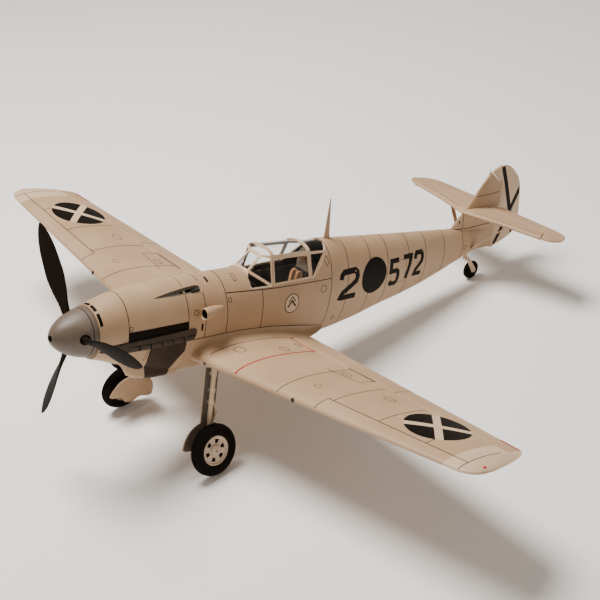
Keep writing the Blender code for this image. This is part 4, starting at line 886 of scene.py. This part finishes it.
def hinge_share(x):
    """Share of the chord where the skin ends ahead of the hinge."""
    front, back, _ = wing_line(x)
    centre, radius = hinge(x)
    return (centre.y - radius - 1.4 - front) / (back - front)


NOSE_EDGE, SLAT_EDGE = 0.004, 0.145  # shares of the chord


def wing_lines(side):
    top = wing_lift(side)
    parts = []
    for x, start, end, steps in ((237.0, NOSE_EDGE, hinge_share(237.0), 16), (325.0, SLAT_EDGE, hinge_share(325.0), 16),
                                 (416.0, SLAT_EDGE, hinge_share(416.0), 16), (506.0, SLAT_EDGE, 0.32, 16),
                                 (582.4, NOSE_EDGE, 0.66, 16), (315.0, NOSE_EDGE, SLAT_EDGE, 6)):
        parts.append(drape(Stroke(chord_line(x, start, end, steps), LINE), top, 0.12, 0.3))
    slat = [(x, wing_line(x)[0] + SLAT_EDGE * (wing_line(x)[1] - wing_line(x)[0])) for x in np.linspace(315, 582, 14)]
    parts.append(drape(Stroke(slat, LINE + 0.1), top, 0.12, 0.3))
    fairing_edge = [(75 - 1.5 * k / 14, y) for k, y in enumerate(np.linspace(257, 424, 15))]
    parts.append(drape(Stroke(fairing_edge, LINE), top, 0.14, 0.3))
    hatch = [(225, 374), (291, 382), (291, 417), (225, 421)]
    parts.append(drape(Stroke(hatch, 1.2), top, 0.14, 0.3, 8.0))
    for x, y, rx, ry in ((364, 375, 11, 7), (254, 390, 9.5, 6.5), (96, 300, 10.5, 9.5), (126, 370, 10, 7),
                         (114, 412, 8, 4.5)):
        parts.append(drape(Stroke(ellipse(x, y, rx, ry), 1.05, True), top, 0.14, 0.3))
    parts.append(drape(Stroke([(268, 305), (279, 305), (279, 312), (272, 315), (266, 311)], 0.8, True), top, 0.12, 0.3))
    below = wing_lift(side, False)
    for x, end in ((237.0, 0.14), (325.0, hinge_share(325.0)), (416.0, hinge_share(416.0)), (506.0, 0.14)):
        parts.append(drape(Stroke(chord_line(x, 0.01, end), LINE), below, 0.12, 0.3))
    return merge(*parts)


def red_lines(side):
    top = wing_lift(side)
    hinge_run = [(x, hinge(x)[0].y - hinge(x)[1] - 2.2) for x in (147.5, 125.0, 100.0, 77.0)]
    return merge(drape(Stroke(chord_line(146.0, NOSE_EDGE, hinge_share(146.0)), 2.6), top, 0.16, 0.3),
                 drape(Stroke(hinge_run, 2.2), top, 0.16, 0.3))


ROUNDEL = (475.0, 362.0, 51.0)  # centre and radius
HALF_ARM = 6.2


def roundel(side):
    """Black disc split by two crossing arms, given as its four black sectors and the pale arms."""
    u0, v0, radius = ROUNDEL
    start = math.asin(HALF_ARM / radius)
    sectors = []
    for quarter in range(4):
        base = math.radians(45 + 90 * quarter)
        local = [(HALF_ARM, HALF_ARM)] + [(radius * math.cos(a), radius * math.sin(a))
                                          for a in np.linspace(start, math.pi / 2 - start, 16)]
        turned = [(p * math.cos(base) - q * math.sin(base), p * math.sin(base) + q * math.cos(base)) for p, q in local]
        for upper in (True, False) if quarter % 2 else (True,):
            sectors.append(drape([[(u0 + p, v0 + q) for p, q in turned]], wing_lift(side, upper), 0.14, 0.3, 6.0))
    return merge(*sectors)


def roundel_arms(side):
    u0, v0, radius = ROUNDEL
    start = math.asin(HALF_ARM / radius)
    loop = []
    for quarter in range(4):
        base = math.radians(45 + 90 * quarter)
        for a in (-start, 0.0, start):
            loop.append((radius * math.cos(a + base), radius * math.sin(a + base)))
        loop.append((HALF_ARM * math.cos(base) - HALF_ARM * math.sin(base),
                     HALF_ARM * math.sin(base) + HALF_ARM * math.cos(base)))
    return drape([[(u0 + p, v0 + q) for p, q in loop]], wing_lift(side), 0.13, 0.3, 6.0)


make("wing_lines", both(wing_lines), ["line"])
make("wing_walkway_lines", red_lines(1), ["marking_red"])
make("wing_roundels", both(roundel), ["marking_black"])
make("wing_roundel_arms", both(roundel_arms), ["paint_pale"])
# The gun ports are near-black plugs: painted shade in the holes.
make("gun_camera_ports",
     both(lambda side: lathe(sided((271, wing_line(271)[0] - 0.8, sum(wing_heights(271, wing_line(271)[0])) / 2), side),
                             (0.0, 1.0, 0.0), [(0, 2.2), (0.5, 3.4), (3.0, 3.4)], 24)), ["black_and_hole_shade"])
make("wing_tip_lamps",
     both(lambda side: lathe(sided((603.5, 318, wing_heights(603, 318)[1] - 1.4), side), (side * 0.75, -0.25, 0.6),
                             [(-1, 3.2), (1.2, 3.1), (2.3, 2.3), (2.8, 1.1), (2.95, 0.2)], 20)), ["lamp_red"])
for name, side in SIDES:
    stripe = []
    for x in (541, 552, 566, 580):
        back = wing_line(x)[1]
        low, high = wing_heights(x, back - 4)
        middle = (low + high) / 2
        stripe.append([Vector((x * side, y, z)) for y, z in ((back + 0.15, middle - 0.35), (back + 0.15, middle + 0.15),
                                                             (back - 4.2, high + 0.12), (back - 4.2, low - 0.12))])
    make("aileron_stripe_" + name, loft(stripe), ["marking_red"], body="aileron_" + name)

# ---------------------------------------------------------------- wing root fairings
ROOT_EDGE = [(246, 57), (270, 66), (316, 75), (424, 73.5), (470, 70), (490, 64), (510, 56), (526, 48), (540, 39)]
for name, side in SIDES:
    rings = []
    for y in np.linspace(246, 540, 50):
        share = min((y - 246) / 70, 1.0)
        ease = 0.10 + 0.90 * share * share * (3 - 2 * share)
        foot_z = wing_heights(54, min(y, 488))[1]
        top_z = foot_z + (curve(FAIRING_LINE, y) - foot_z) * ease
        hull_x = hull_side(y, top_z)
        wing_back = wing_line(70)[1]
        out_x = interp(ROOT_EDGE, y)
        wing_z = wing_heights(out_x, min(y, wing_back - 1))[1]
        if y > wing_back - 40:
            wing_z = interp([(wing_back - 40, wing_heights(70, wing_back - 40)[1]), (wing_back, -63.5), (540, -66)], y)
        out_x = max(out_x, hull_side(min(y, 540), wing_z) + 0.6)
        inner_x = min(hull_x, hull_side(y, wing_z)) - 2.0
        corner_x, corner_z = hull_side(y, wing_z + 2) + 1.0, wing_z + 1.0
        ring = []
        for t in np.linspace(0, 1, 12):
            x = (1 - t) ** 2 * (hull_x + 0.05) + 2 * t * (1 - t) * corner_x + t * t * out_x
            z = (1 - t) ** 2 * top_z + 2 * t * (1 - t) * corner_z + t * t * (wing_z + 0.05)
            ring.append(sided((x, y, z), side))
        ring += [sided((out_x, y, wing_z - 1.2), side), sided((inner_x, y, wing_z - 1.2), side),
                 sided((inner_x, y, top_z), side)]
        rings.append(ring)
    make("root_fairing_" + name, loft(rings), ["paint"], angle=50)

# ---------------------------------------------------------------- tail
make("tailplane_skin", stab(163.0), ["paint"], replaced=("tailplane",))


def elevator_ring(x):
    side, x = (1 if x > 0 else -1), abs(x)
    half = stab_half(x) * 0.85
    nose = STAB_HINGE_Y - half
    if x > HORN_X[0]:
        nose = max(stab_rear(x) + 1.3 + (x - HORN_X[0]) * 0.05, curve(STAB_LE, x))
    back = curve(STAB_TE, x)
    depth = back - nose
    start = min(half / depth, 0.45)
    rows = [(0.0, 0.0), (0.06 * start, 0.34), (0.25 * start, 0.66), (0.55 * start, 0.89), (start, 1.0),
            (start + (1 - start) * 0.3, 0.76), (start + (1 - start) * 0.65, 0.42), (1.0, 0.09)]
    ring = [Vector((x * side, nose + depth * s, STAB_Z + half * h)) for s, h in rows]
    return ring + [Vector((p.x, p.y, 2 * STAB_Z - p.z)) for p in ring[:0:-1]]


elevator_x = (11.0, 30.0, 50.0, 70.0, 90.0, 110.0, 130.0, 142.0, 150.0, 157.0, 163.5, 170.0, 176.0, 182.0, 187.0, 190.5)
make("elevator_skin", merge(loft([elevator_ring(x) for x in elevator_x]), loft([elevator_ring(-x) for x in elevator_x]),
                            rod((-16, STAB_HINGE_Y, STAB_Z), (16, STAB_HINGE_Y, STAB_Z), 2.0)),
     ["paint"], body="elevator", replaced=("elevator",))

# height, trailing edge
RUDDER_TE = [(3.5, 1026.0), (10.0, 1047.0), (24.0, 1077.0), (60.0, 1087.5), (92.0, 1082.0), (119.0, 1076.0),
             (140.0, 1067.0), (160.0, 1046.0), (169.0, 1032.0), (172.4, 1020.0)]


def rudder_edges(z):
    half = interp(FIN_HALF, z) * 0.74
    nose = RUDDER_Y - half
    if z > 138.0:
        nose = interp(FIN_HORN, min(z, 163.0)) - half * 0.9
    if z > 163.0:
        nose = interp([(163.0, nose), (172.4, 1002.0)], z)
    back = curve(RUDDER_TE, z)
    return nose, back, min(half, (back - nose) * 0.3)


def rudder_rows(nose, back, half):
    start = min(half / (back - nose), 0.4)
    return [(0.0, 0.0), (0.06 * start, 0.34), (0.3 * start, 0.7), (0.6 * start, 0.9), (start, 1.0),
            (start + (1 - start) * 0.3, 0.76), (start + (1 - start) * 0.65, 0.42), (1.0, 0.1)]


def rudder_ring(z):
    nose, back, half = rudder_edges(z)
    ring = [Vector((half * h, nose + (back - nose) * s, z)) for s, h in rudder_rows(nose, back, half)]
    return ring + [sided(p, -1) for p in ring[:0:-1]]


def rudder_lift(side):
    def lift(y, z, h):
        nose, back, half = rudder_edges(min(max(z, 3.6), 172.3))
        part = min(max((y - nose) / (back - nose), 0.0), 1.0)
        return Vector(((half * interp(rudder_rows(nose, back, half), part) + h) * side, y, z))
    return lift


RUDDER_Z = (3.5, 6, 10, 16, 24, 35, 48, 60, 76, 92, 106, 119, 130, 137.5, 140, 146, 151, 157, 162, 166, 169, 171, 172.4)
make("rudder_skin", loft([rudder_ring(z) for z in RUDDER_Z]), ["paint_pale"], body="rudder", replaced=("rudder",))


def clipped_band(start, end, width):
    """Straight band on the rudder, kept inside its outline."""
    a, b = Vector(start), Vector(end)
    outline = []
    steps = 14
    normal = Vector((-(b - a).y, (b - a).x)).normalized() * width / 2
    left = [a.lerp(b, k / steps) + normal for k in range(steps + 1)]
    other = [a.lerp(b, k / steps) - normal for k in range(steps + 1)]
    for p in left + other[::-1]:
        z = min(max(p.y, 4.5), 171.6)
        nose, back, _ = rudder_edges(z)
        outline.append((min(max(p.x, nose + 1.5), back - 0.8), z))
    return [outline]


def rudder_cross(side):
    lift = rudder_lift(side)
    return merge(drape(clipped_band((1010, 171), (1077, 26), 10.5), lift, 0.15, 0.3),
                 drape(clipped_band((1080, 128), (1022, 8), 10.5), lift, 0.16, 0.3))


make("rudder_cross", both(rudder_cross), ["marking_black"], body="rudder")


def tail_lines(side):
    lift = fin_lift(side)
    parts = [drape(Stroke([(941, 116), (960, 117.5), (990, 119), (1009, 120)], LINE), lift),
             drape(Stroke([(915, 56), (915, 84)], LINE), lift),
             drape(Stroke([(884, 56.5), (905, 55.5), (930, 55), (960, 56), (1009, 58)], LINE), lift, 0.3)]
    return merge(*parts)


make("tail_lines", both(tail_lines), ["line"])
make("tail_slots", both(lambda side: drape([[(905, 66), (907.5, 66), (907.5, 77), (905, 77)]], fin_lift(side))),
     ["marking_black"])
make("fin_pin_mast", tube([(0, 974, 156), (0, 975, 163), (0, 974.5, 169.5)], [1.3, 1.0, 0.6], 12), ["paint"])


def stab_lines(side):
    parts = []
    for upper in (1, -1):
        lift = (lambda x, y, h: Vector((x * side, y, STAB_Z + upper * (stab_half(x) * interp(
            STAB_SECTION, (y - interp(STAB_LE, x)) / (stab_rear(x) - interp(STAB_LE, x))) + h))))
        parts.append(drape(Stroke([(20, 925), (60, 937), (110, 948), (148, 955)], 0.9), lift, 0.1, 0.25))
    return merge(*parts)


make("tailplane_lines", both(stab_lines), ["line"])


# ---------------------------------------------------------------- spinner and propeller
# y, radius
SPINNER = [(-1.5, 5.9), (-1.1, 7.0), (-0.2, 8.6), (4.0, 14.6), (12.0, 22.0), (25.0, 30.0), (39.0, 35.8), (50.0, 38.9),
           (58.5, 40.5)]
PROP_Y, PROP_TURN, PROP_PITCH = 39.0, math.radians(8.0), 330.0
turns = [PROP_TURN + 2 * math.pi * k / 3 for k in range(3)]
# The nose bore (slot 1) and the blade holes are lined near-black as painted shade; the ring near the base is a dark
# groove.
rows = [(8.0, 5.0, 1), (-1.0, 5.2)]
for y in [-1.5, -1.1, -0.6, 0.2, 1.5, 3.2, 5.5, 8.5, 12, 16, 20.5, 25.5, 31, 36.5, 42, 47]:
    rows.append((y, curve(SPINNER, y)))
rows += [(52.0, curve(SPINNER, 52), 1), (52.3, curve(SPINNER, 52) - 0.6, 1), (53.2, curve(SPINNER, 53) - 0.6, 1),
         (53.5, curve(SPINNER, 53.5)), (58.5, 40.5), (58.5, 38.9)]
rows += [(y, curve(SPINNER, y) - 1.6) for y in (45, 30, 18)]
make("spinner_skin", lathe((0, 0, 0), (0, 1, 0), rows + [(9.0, 3.0)], 72), ["spinner", "black_and_hole_shade"], body="propeller",
     replaced=("spinner",),
     cuts=[lathe((0, PROP_Y, 0), (math.cos(a), 0, math.sin(a)), [(18, 8.3), (56, 8.3)], 28, 1) for a in turns])

# distance from the hub's centre, chord, thickness
BLADE = [(9, 13, 11), (32, 13, 11), (47, 15, 8.5), (72, 25, 5.5), (102, 33, 4.2), (132, 32, 3.4),
         (157, 25, 2.6), (173, 14, 2.0), (181.0, 4, 1.4)]
blades = []
for turn in turns:
    out, ahead = Vector((math.cos(turn), 0, math.sin(turn))), Vector((-math.sin(turn), 0, math.cos(turn)))
    rings = []
    for radius in list(np.linspace(9, 172, 40)) + [174.5, 177, 179, 180.3, 181]:
        chord, thickness = curve(BLADE, radius), curve(BLADE, radius, 2)
        pitch = min(math.atan(PROP_PITCH / (2 * math.pi * radius)), 1.0)
        lead = ahead * math.cos(pitch) + Vector((0, -1, 0)) * math.sin(pitch)
        lift = out.cross(lead)
        rings.append([Vector((0, PROP_Y, 0)) + out * radius + lead * (chord / 2 * math.cos(a))
                      + lift * (thickness / 2 * math.sin(a)) for a in angles(24)])
    blades.append(loft(rings))
make("propeller_blades", lathe((0, PROP_Y, 0), (0, 1, 0), [(-6.2, 3.2), (-6.2, 13), (-5.4, 14), (5.8, 14), (6.6, 13),
                                                           (6.6, 3.2)], 48, 0, True),
     ["blade"], body="propeller", replaced=("propeller",), unions=blades)

# ---------------------------------------------------------------- exhausts
for name, side in SIDES:
    rings = []
    for y in (95, 96.5, 99, 104, 130, 160, 190, 212, 226, 233, 238, 241.5, 243):
        low = interp([(95, -21), (104, -26.5), (226, -25.5), (238, -23), (243, -19)], y)
        high = interp([(95, -12), (104, -9.6), (226, -6.8), (238, -7.2), (243, -9)], y)
        out = interp([(95, 1.0), (99, 3.5), (104, 4.8), (226, 4.8), (238, 4.2), (243, 1.0)], y)
        inside, outside = min(hull_side(y, low), hull_side(y, high)) - 3, hull_side(y, (low + high) / 2) + out
        rings.append([sided(p, side) for p in ((inside, y, low), (outside - 1.5, y, low), (outside - 0.4, y, low + 0.6),
                                               (outside, y, low + 1.8), (outside, y, high - 1.8),
                                               (outside - 0.4, y, high - 0.6), (outside - 1.5, y, high),
                                               (inside, y, high))])
    stubs, notches = [], []
    for k in range(6):
        y = 122 + 21 * k
        x = hull_side(y, -19) + 3.6
        stubs.append(loft([[sided((x + px * s, y + dy, z), side) for px, z in
                            ((-3, -25.0), (2.6, -24.6), (3.7, -23.2), (4.0, -20.5), (3.7, -17.8), (2.6, -16.4),
                             (-3, -16.0))] for dy, s in ((-10, 0.25), (-3, 0.8), (6.5, 1.1))]))
        # Each stub's outlet notch is lined near-black: painted shade inside the outlet.
        notches.append(box(((x - 2.5) * side, y + 7.0, -24.6), ((x + 3.2) * side, y + 10.6, -16.2), 1))
    make("exhaust_stack_" + name, loft(rings), ["exhaust", "black_and_hole_shade"],
         replaced=("exhaust_" + name,), unions=stubs, cuts=notches, angle=30)

# ---------------------------------------------------------------- supercharger intake
# y, x, radius: up the inside of the mouth, over its lip and back along the outside
scoop_rows = ((277, 49.0, 4.0), (270, 51.6, 6.0), (262, 54.4, 7.4), (250.6, 56.3, 8.1), (248.4, 56.7, 8.5),
              (247.0, 56.9, 9.2), (247.4, 57.0, 9.8), (249.5, 56.9, 10.2), (256, 56.0, 10.2), (264, 54.2, 9.6),
              (274, 51.4, 8.2), (284, 48.6, 6.2), (294, 46.0, 3.6))
# The scoop's throat is lined near-black: painted shade inside the intake.
make("supercharger_scoop",
     loft([circle(x + 1.6, y, 19, r, 36) for y, x, r in scoop_rows], lambda i, j: 1 if i < 3 else 0),
     ["paint", "black_and_hole_shade"], replaced=("supercharger_intake",), cuts=[hull_plug(200, 340, -0.3)])

# ---------------------------------------------------------------- wheels, legs and doors
for name, side in SIDES:
    centre, spin = sided(LEG_FOOT + AXLE * WHEEL_OFFSET, side), sided(AXLE, side)
    _, u, v = axes_of(spin)
    tyre = [(-7.0, 25.8), (-8.2, 27.0), (-8.7, 30.0), (-8.75, 34.0), (-8.3, 34.4), (-8.3, 35.4), (-8.6, 35.9),
            (-7.9, 38.9), (-6.6, 41.0)]
    for s in (-4.6, -2.3, 0.0, 2.3, 4.6):
        r = 44.0 - 0.068 * s * s
        tyre += [(s - 0.7, r), (s - 0.45, r - 0.8), (s + 0.45, r - 0.8), (s + 0.7, r)]
    tyre += [(-s, r) for s, r in tyre[8::-1]]
    make("tyre_tread_" + name, lathe(centre, spin, tyre, 72, 0, True), ["rubber"], body="wheel_" + name,
         replaced=("tyre_" + name,), angle=30)
    hub = [(-8.0, 2.6), (-8.0, 8.0), (-3.0, 9.0), (-3.0, 22.0), (-7.0, 25.3), (6.4, 25.3), (7.0, 24.9), (7.2, 24.2),
           (6.6, 23.2), (4.9, 22.4), (4.1, 21.4), (4.1, 11.0), (5.4, 9.6), (7.2, 8.6), (7.2, 6.6), (7.8, 6.2),
           (8.1, 5.2), (8.1, 2.6)]
    # The hub's holes are lined near-black: painted shade through the openings.
    holes = []
    for middle in angles(6):
        wedge = []
        for radius, a in ((12.6, -0.20), (12.6, 0.20), (19.3, 0.24), (19.3, 0.0), (19.3, -0.24)):
            turn = middle + 0.3 + a
            wedge.append(centre + (u * math.cos(turn) + v * math.sin(turn)) * radius - spin * 0.6)
        holes.append(prism(wedge, spin * 8, 1))
    bolts = [rod(centre + (u * math.cos(a + 0.82) + v * math.sin(a + 0.82)) * 10.4 + spin * 4.4,
                 centre + (u * math.cos(a + 0.82) + v * math.sin(a + 0.82)) * 10.4 + spin * 6.0, 0.7, 6)
             for a in angles(6)]
    make("wheel_rim_" + name, lathe(centre, spin, hub, 72, 0, True), ["rim", "black_and_hole_shade"], body="wheel_" + name,
         replaced=("wheel_hub_" + name,), cuts=holes, angle=30)
    make("wheel_bolts_" + name, merge(*bolts), ["steel"], body="wheel_" + name)

    top, down = sided(LEG_TOP, side), sided(LEG_LINE, side)
    strut = [(-6, 4.4), (-5.2, 5.2), (25.4, 5.2), (26.4, 4.6), (27, 4.0)]
    for collar in (45, 65):
        strut += [(collar, 4.0), (collar + 0.6, 4.8), (collar + 1.4, 5.1), (collar + 6.6, 5.1), (collar + 7.4, 4.8),
                  (collar + 8, 4.0)]
    strut += [(100, 4.0), (100.8, 3.4), (LEG_LENGTH - 8, 3.4), (LEG_LENGTH - 6.5, 4.6), (LEG_LENGTH + 4.2, 4.6),
             (LEG_LENGTH + 5, 3.8)]
    q = Matrix((UP_LINE, UP_AXLE, UP_LINE.cross(UP_AXLE))).transposed() @ Matrix(
        (LEG_LINE, AXLE, LEG_LINE.cross(AXLE)))
    axis = sided(Vector(q.to_quaternion().axis), side)
    foot = sided(LEG_FOOT, side)
    elbow = leg_point(86, 0.5, -12.5, side=side)
    links = [tube([leg_point(69, 0.5, -4.5, side=side), elbow], [1.7, 1.5], 10),
             tube([elbow, leg_point(LEG_LENGTH - 34, 0.5, -4.2, side=side)], [1.5, 1.7], 10)]
    make("gear_strut_" + name, merge(lathe(top, down, strut, 32),
                                     rod(foot, foot + spin * (WHEEL_OFFSET + 6.5), 2.2, 20),
                                     rod(top - axis * 9, top + axis * 9, 3.2, 20), *links),
         ["paint_pale"], body="gear_" + name, replaced=("gear_leg_" + name,))
    hose = [leg_point(a, 0.5 + b, 6.3 + c, side=side) for a, b, c in
            ((24, 0, 0.6), (40, 0.5, 1.4), (55, 0.2, 1.0), (72, 0.5, 1.4), (90, 0.2, 0.6), (112, 0.6, 0.8),
             (LEG_LENGTH - 8, 0.6, 0.9))]
    make("brake_line_" + name, tube(hose, 0.75, 8), ["shrink_wrap"], body="gear_" + name)

    start = math.asin(14 / DOOR_RADIUS)
    edge = [(12, -14), (12, 14)]
    edge += [(LEG_LENGTH + DOOR_DROP - DOOR_RADIUS * math.cos(a), DOOR_RADIUS * math.sin(a))
             for a in np.linspace(start, math.pi / 2, 15)]
    edge += [(LEG_LENGTH + 6.5, 40), (LEG_LENGTH + 5.5, 22), (LEG_LENGTH + 8, 17), (LEG_LENGTH + 12.5, 13),
             (LEG_LENGTH + 15.6, 9), (LEG_LENGTH + 17, 4)]
    edge += [(a, -c) for a, c in edge[:1:-1]]
    door_rings = [[leg_point(a, out, c, side=side) for a, c in edge] for out in (-6.6, -6.2, -5.2)]
    inset = [[leg_point(12 + (a - 12) * 0.994 + 0.3, -6.7, c * 0.985, side=side) for a, c in edge]]
    make("gear_door_panel_" + name, loft(inset + door_rings, lambda i, j: 1 if i == 0 else 0), ["paint", "paint"],
         body="gear_" + name, replaced=("gear_door_" + name,), angle=30)
    liner = [[leg_point(12 + (a - 12) * 0.985 + 0.8, out, c * 0.955, side=side) for a, c in edge]
             for out in (-5.3, -5.0)]
    make("gear_door_liner_" + name, loft(liner), ["door_inside_and_trough_shade"], body="gear_" + name)
    bars = [loft([[leg_point(a + p * along, out, q * across, side=side) for p, q in CORNERS]
                  for out, along, across in ((-5.2, 2, 5), (-3.6, 1.6, 3))]) for a in (22, 49, 69)]
    make("gear_door_brackets_" + name, merge(*bars), ["steel"], body="gear_" + name, bevel=0.25)

# ---------------------------------------------------------------- cockpit
make("seat_cushion", loft([[Vector((x * s, 463 + 28 * (y + 1) / 2 + dy, z)) for x, y in
                            [(13 * math.copysign(abs(math.cos(a)) ** 0.4, math.cos(a)),
                              math.copysign(abs(math.sin(a)) ** 0.4, math.sin(a)))
                             for a in angles(32)]]
                           for z, s, dy in ((-20.5, 0.93, 0), (-19, 1.0, 0), (-16.5, 1.0, 0), (-14.2, 0.92, 0),
                                            (-13.3, 0.7, 0), (-13.0, 0.4, 0))]), ["leather"])
back_rows = []
for t, s in ((0.0, 0.90), (0.06, 1.0), (0.5, 1.0), (0.9, 0.98), (1.0, 0.86)):
    z = -12 + 44 * t
    y = 490.0 + (z + 24) * 0.19
    back_rows.append([Vector((12.5 * s * x, y - 2.2 - 2.6 * (1 - x * x) * s, z)) for x in np.linspace(-1, 1, 13)]
                     + [Vector((12.5 * s * x, y + 0.8, z)) for x in np.linspace(1, -1, 13)])
make("seat_back_cushion", loft(back_rows), ["leather"])
straps = []
for x in (-6.5, 6.5):
    path = [(x, 499.5, 33), (x, 493.0, 34.5), (x * 1.02, 489.4, 29), (x * 1.05, 487.0, 15), (x * 0.9, 484.5, 0),
            (x * 0.6, 480, -10.5), (x * 0.5, 472, -12.4)]
    rings = []
    for k, p in enumerate(path):
        p = Vector(p)
        ahead = (Vector(path[min(k + 1, 6)]) - Vector(path[max(k - 1, 0)])).normalized()
        across = Vector((1, 0, 0))
        normal = across.cross(ahead).normalized()
        rings.append([p + across * a * 2.6 + normal * b * 0.45 for a, b in CORNERS])
    straps.append(loft(rings))
make("harness_straps", merge(*straps), ["webbing"], bevel=0.15)
armour = [(-14, 30), (14, 30), (17, 40), (17, 58), (13, 68), (7, 73), (-7, 73), (-13, 68), (-17, 58), (-17, 40)]
make("head_armour", prism([(x, 507.5 + (z - 30) * 0.04, z) for x, z in armour], (0, 1.8, 0)), ["cockpit_light"],
     bevel=0.5)
make("headrest_pad", loft([[Vector((8.5 * s * math.copysign(abs(math.cos(a)) ** 0.5, math.cos(a)), y,
                                    56 + 6 * s * math.copysign(abs(math.sin(a)) ** 0.5, math.sin(a))))
                            for a in angles(28)]
                           for y, s in ((508.2, 0.9), (506.5, 1.0), (504.5, 0.94), (503.6, 0.6))]), ["leather"])
dials = []
for x, z, r in ((-16, 18, 5), (-5, 19, 5), (6, 19, 5), (17, 18, 5), (-13, 6, 4.2), (0, 6, 5.4), (13, 6, 4.2),
                (-8, -5, 3.4), (8, -5, 3.4)):
    dials.append(lathe((x, 388.6, z), (0, -1, 0), [(0, r), (1.2, r), (1.2, r - 0.9), (0.5, r - 1.1)], 24))
make("panel_bezels", merge(*dials), ["cockpit_light"])
make("gun_sight", merge(box((-5, 380, 38), (5, 392, 43)),
                        lathe((0, 386, 43), (0, 0, 1), [(0, 3.2), (4, 3.2), (5, 2.4)], 24),
                        prism([(-5, 388, 46), (5, 388, 46), (5, 391, 56), (-5, 391, 56)], (0, 0.8, 0))),
     ["cockpit"], bevel=0.4)
make("control_stick", merge(tube([(0, 440, -29), (0, 439, -14), (0, 436, 2), (0, 435.5, 8)], [1.6, 1.3, 1.4, 1.8], 12),
                            tube([(0, 435.5, 6), (0, 434.6, 12), (0, 433.5, 17)], [2.6, 2.9, 2.2], 14)),
     ["shrink_wrap"])
consoles = []
for side in (1, -1):
    consoles.append(box((20 * side, 392, -29), (27 * side, 480, -2)))
    consoles += [lathe((23.5 * side, y, -2), (0, 0, 1), [(0, 2.2), (3.2, 1.6), (4.0, 1.0)], 14)
                 for y in (404, 416, 430, 446)]
make("side_consoles", merge(*consoles), ["cockpit_light"], bevel=0.4)
make("rear_shelf", box((-26, 512, 26), (26, 532, 29.5)), ["leather"], bevel=0.5)


# ---------------------------------------------------------------- carried-over CAD nodes
def softening_group():
    """Shades a flat-faced frame node smooth, with its sharp edges kept."""
    group = bpy.data.node_groups.new("soften", "GeometryNodeTree")
    group.interface.new_socket("Geometry", in_out="INPUT", socket_type="NodeSocketGeometry")
    group.interface.new_socket("Geometry", in_out="OUTPUT", socket_type="NodeSocketGeometry")
    start, end = group.nodes.new("NodeGroupInput"), group.nodes.new("NodeGroupOutput")
    angle = group.nodes.new("GeometryNodeInputMeshEdgeAngle")
    test = group.nodes.new("FunctionNodeCompare")
    test.operation, test.data_type = "GREATER_THAN", "FLOAT"
    test.inputs[1].default_value = math.radians(35.0)
    faces, edges = group.nodes.new("GeometryNodeSetShadeSmooth"), group.nodes.new("GeometryNodeSetShadeSmooth")
    faces.domain, edges.domain = "FACE", "EDGE"
    edges.inputs["Shade Smooth"].default_value = False
    group.links.new(start.outputs[0], faces.inputs["Geometry"])
    group.links.new(faces.outputs["Geometry"], edges.inputs["Geometry"])
    group.links.new(angle.outputs["Unsigned Angle"], test.inputs[0])
    group.links.new(test.outputs["Result"], edges.inputs["Selection"])
    group.links.new(edges.outputs["Geometry"], end.inputs[0])
    return group


soften = softening_group()
NODE_FINISH = {
    "glass": ("canopy_glass", "rear_canopy_glass", "windscreen_glass"),
    "paint_pale": ("canopy_frame", "rear_canopy_frame", "windscreen_frame", "tail_fork"),
    "spinner": ("spinner_backplate",),
    "aluminium": ("motor_bell", "wing_spar"),
    "steel": ("prop_nut", "motor_stator", "aileron_pushrod_left", "aileron_pushrod_right"),
    "cockpit": ("cockpit_tub", "instrument_panel", "pilot_seat"),
    "plywood": ("firewall",),
    "battery": ("battery_pack",),
    "shrink_wrap": ("receiver", "speed_controller"),
    "servo": ("elevator_servo", "rudder_servo", "retract_unit_left", "retract_unit_right", "aileron_servo_left",
              "aileron_servo_right", "aileron_arm_left", "aileron_arm_right", "aileron_horn_left",
              "aileron_horn_right"),
    "rubber": ("tail_wheel",),
}
finish_of = {node: name for name, nodes in NODE_FINISH.items() for node in nodes}
for node_name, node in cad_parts.items():
    if node.hide_render:
        continue
    node.data.materials.clear()
    node.data.materials.append(MATERIALS[finish_of.get(node_name, "paint")])
    weld = node.modifiers.new("weld", "WELD")
    weld.merge_threshold = 1e-5
    shade = node.modifiers.new("soften", "NODES")
    shade.node_group = soften

# ---------------------------------------------------------------- floor and light
floor_mesh = bpy.data.meshes.new("floor")
floor_mesh.from_pydata([(9.0 * a, 9.0 * b, 0) for a, b in CORNERS], [], [(0, 1, 2, 3)])
floor = bpy.data.objects.new("floor", floor_mesh)
bpy.context.scene.collection.objects.link(floor)
floor_mesh.materials.append(finish("floor", (0.955, 0.95, 0.945), (0.985, 0.98, 0.975), (0.7, 0.8), blotch=0.6,
                                   bump=0.0))
floor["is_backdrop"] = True

world = bpy.data.worlds.new("studio")
bpy.context.scene.world = world
world.use_nodes = True
world.node_tree.nodes["Background"].inputs["Color"].default_value = (1.0, 0.93, 0.85, 1.0)
world.node_tree.nodes["Background"].inputs["Strength"].default_value = 0.38


def light(name, place, aim, size, power, colour):
    data = bpy.data.lights.new(name, "AREA")
    data.shape, data.size, data.energy, data.color = "DISK", size, power, colour
    made = bpy.data.objects.new(name, data)
    bpy.context.scene.collection.objects.link(made)
    made.location = place
    made.rotation_euler = (Vector(aim) - Vector(place)).to_track_quat("-Z", "Y").to_euler()


light("key", (-0.9, -0.5, 3.0), (0, 0, 0.1), 1.5, 165.0, (1.0, 0.95, 0.89))
light("fill", (2.6, -1.8, 1.0), (0, 0, 0.2), 1.6, 5.0, (1.0, 0.66, 0.38))

low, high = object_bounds()
{"cad": [list(cad_low), list(cad_high)], "visual": [list(low), list(high)]}
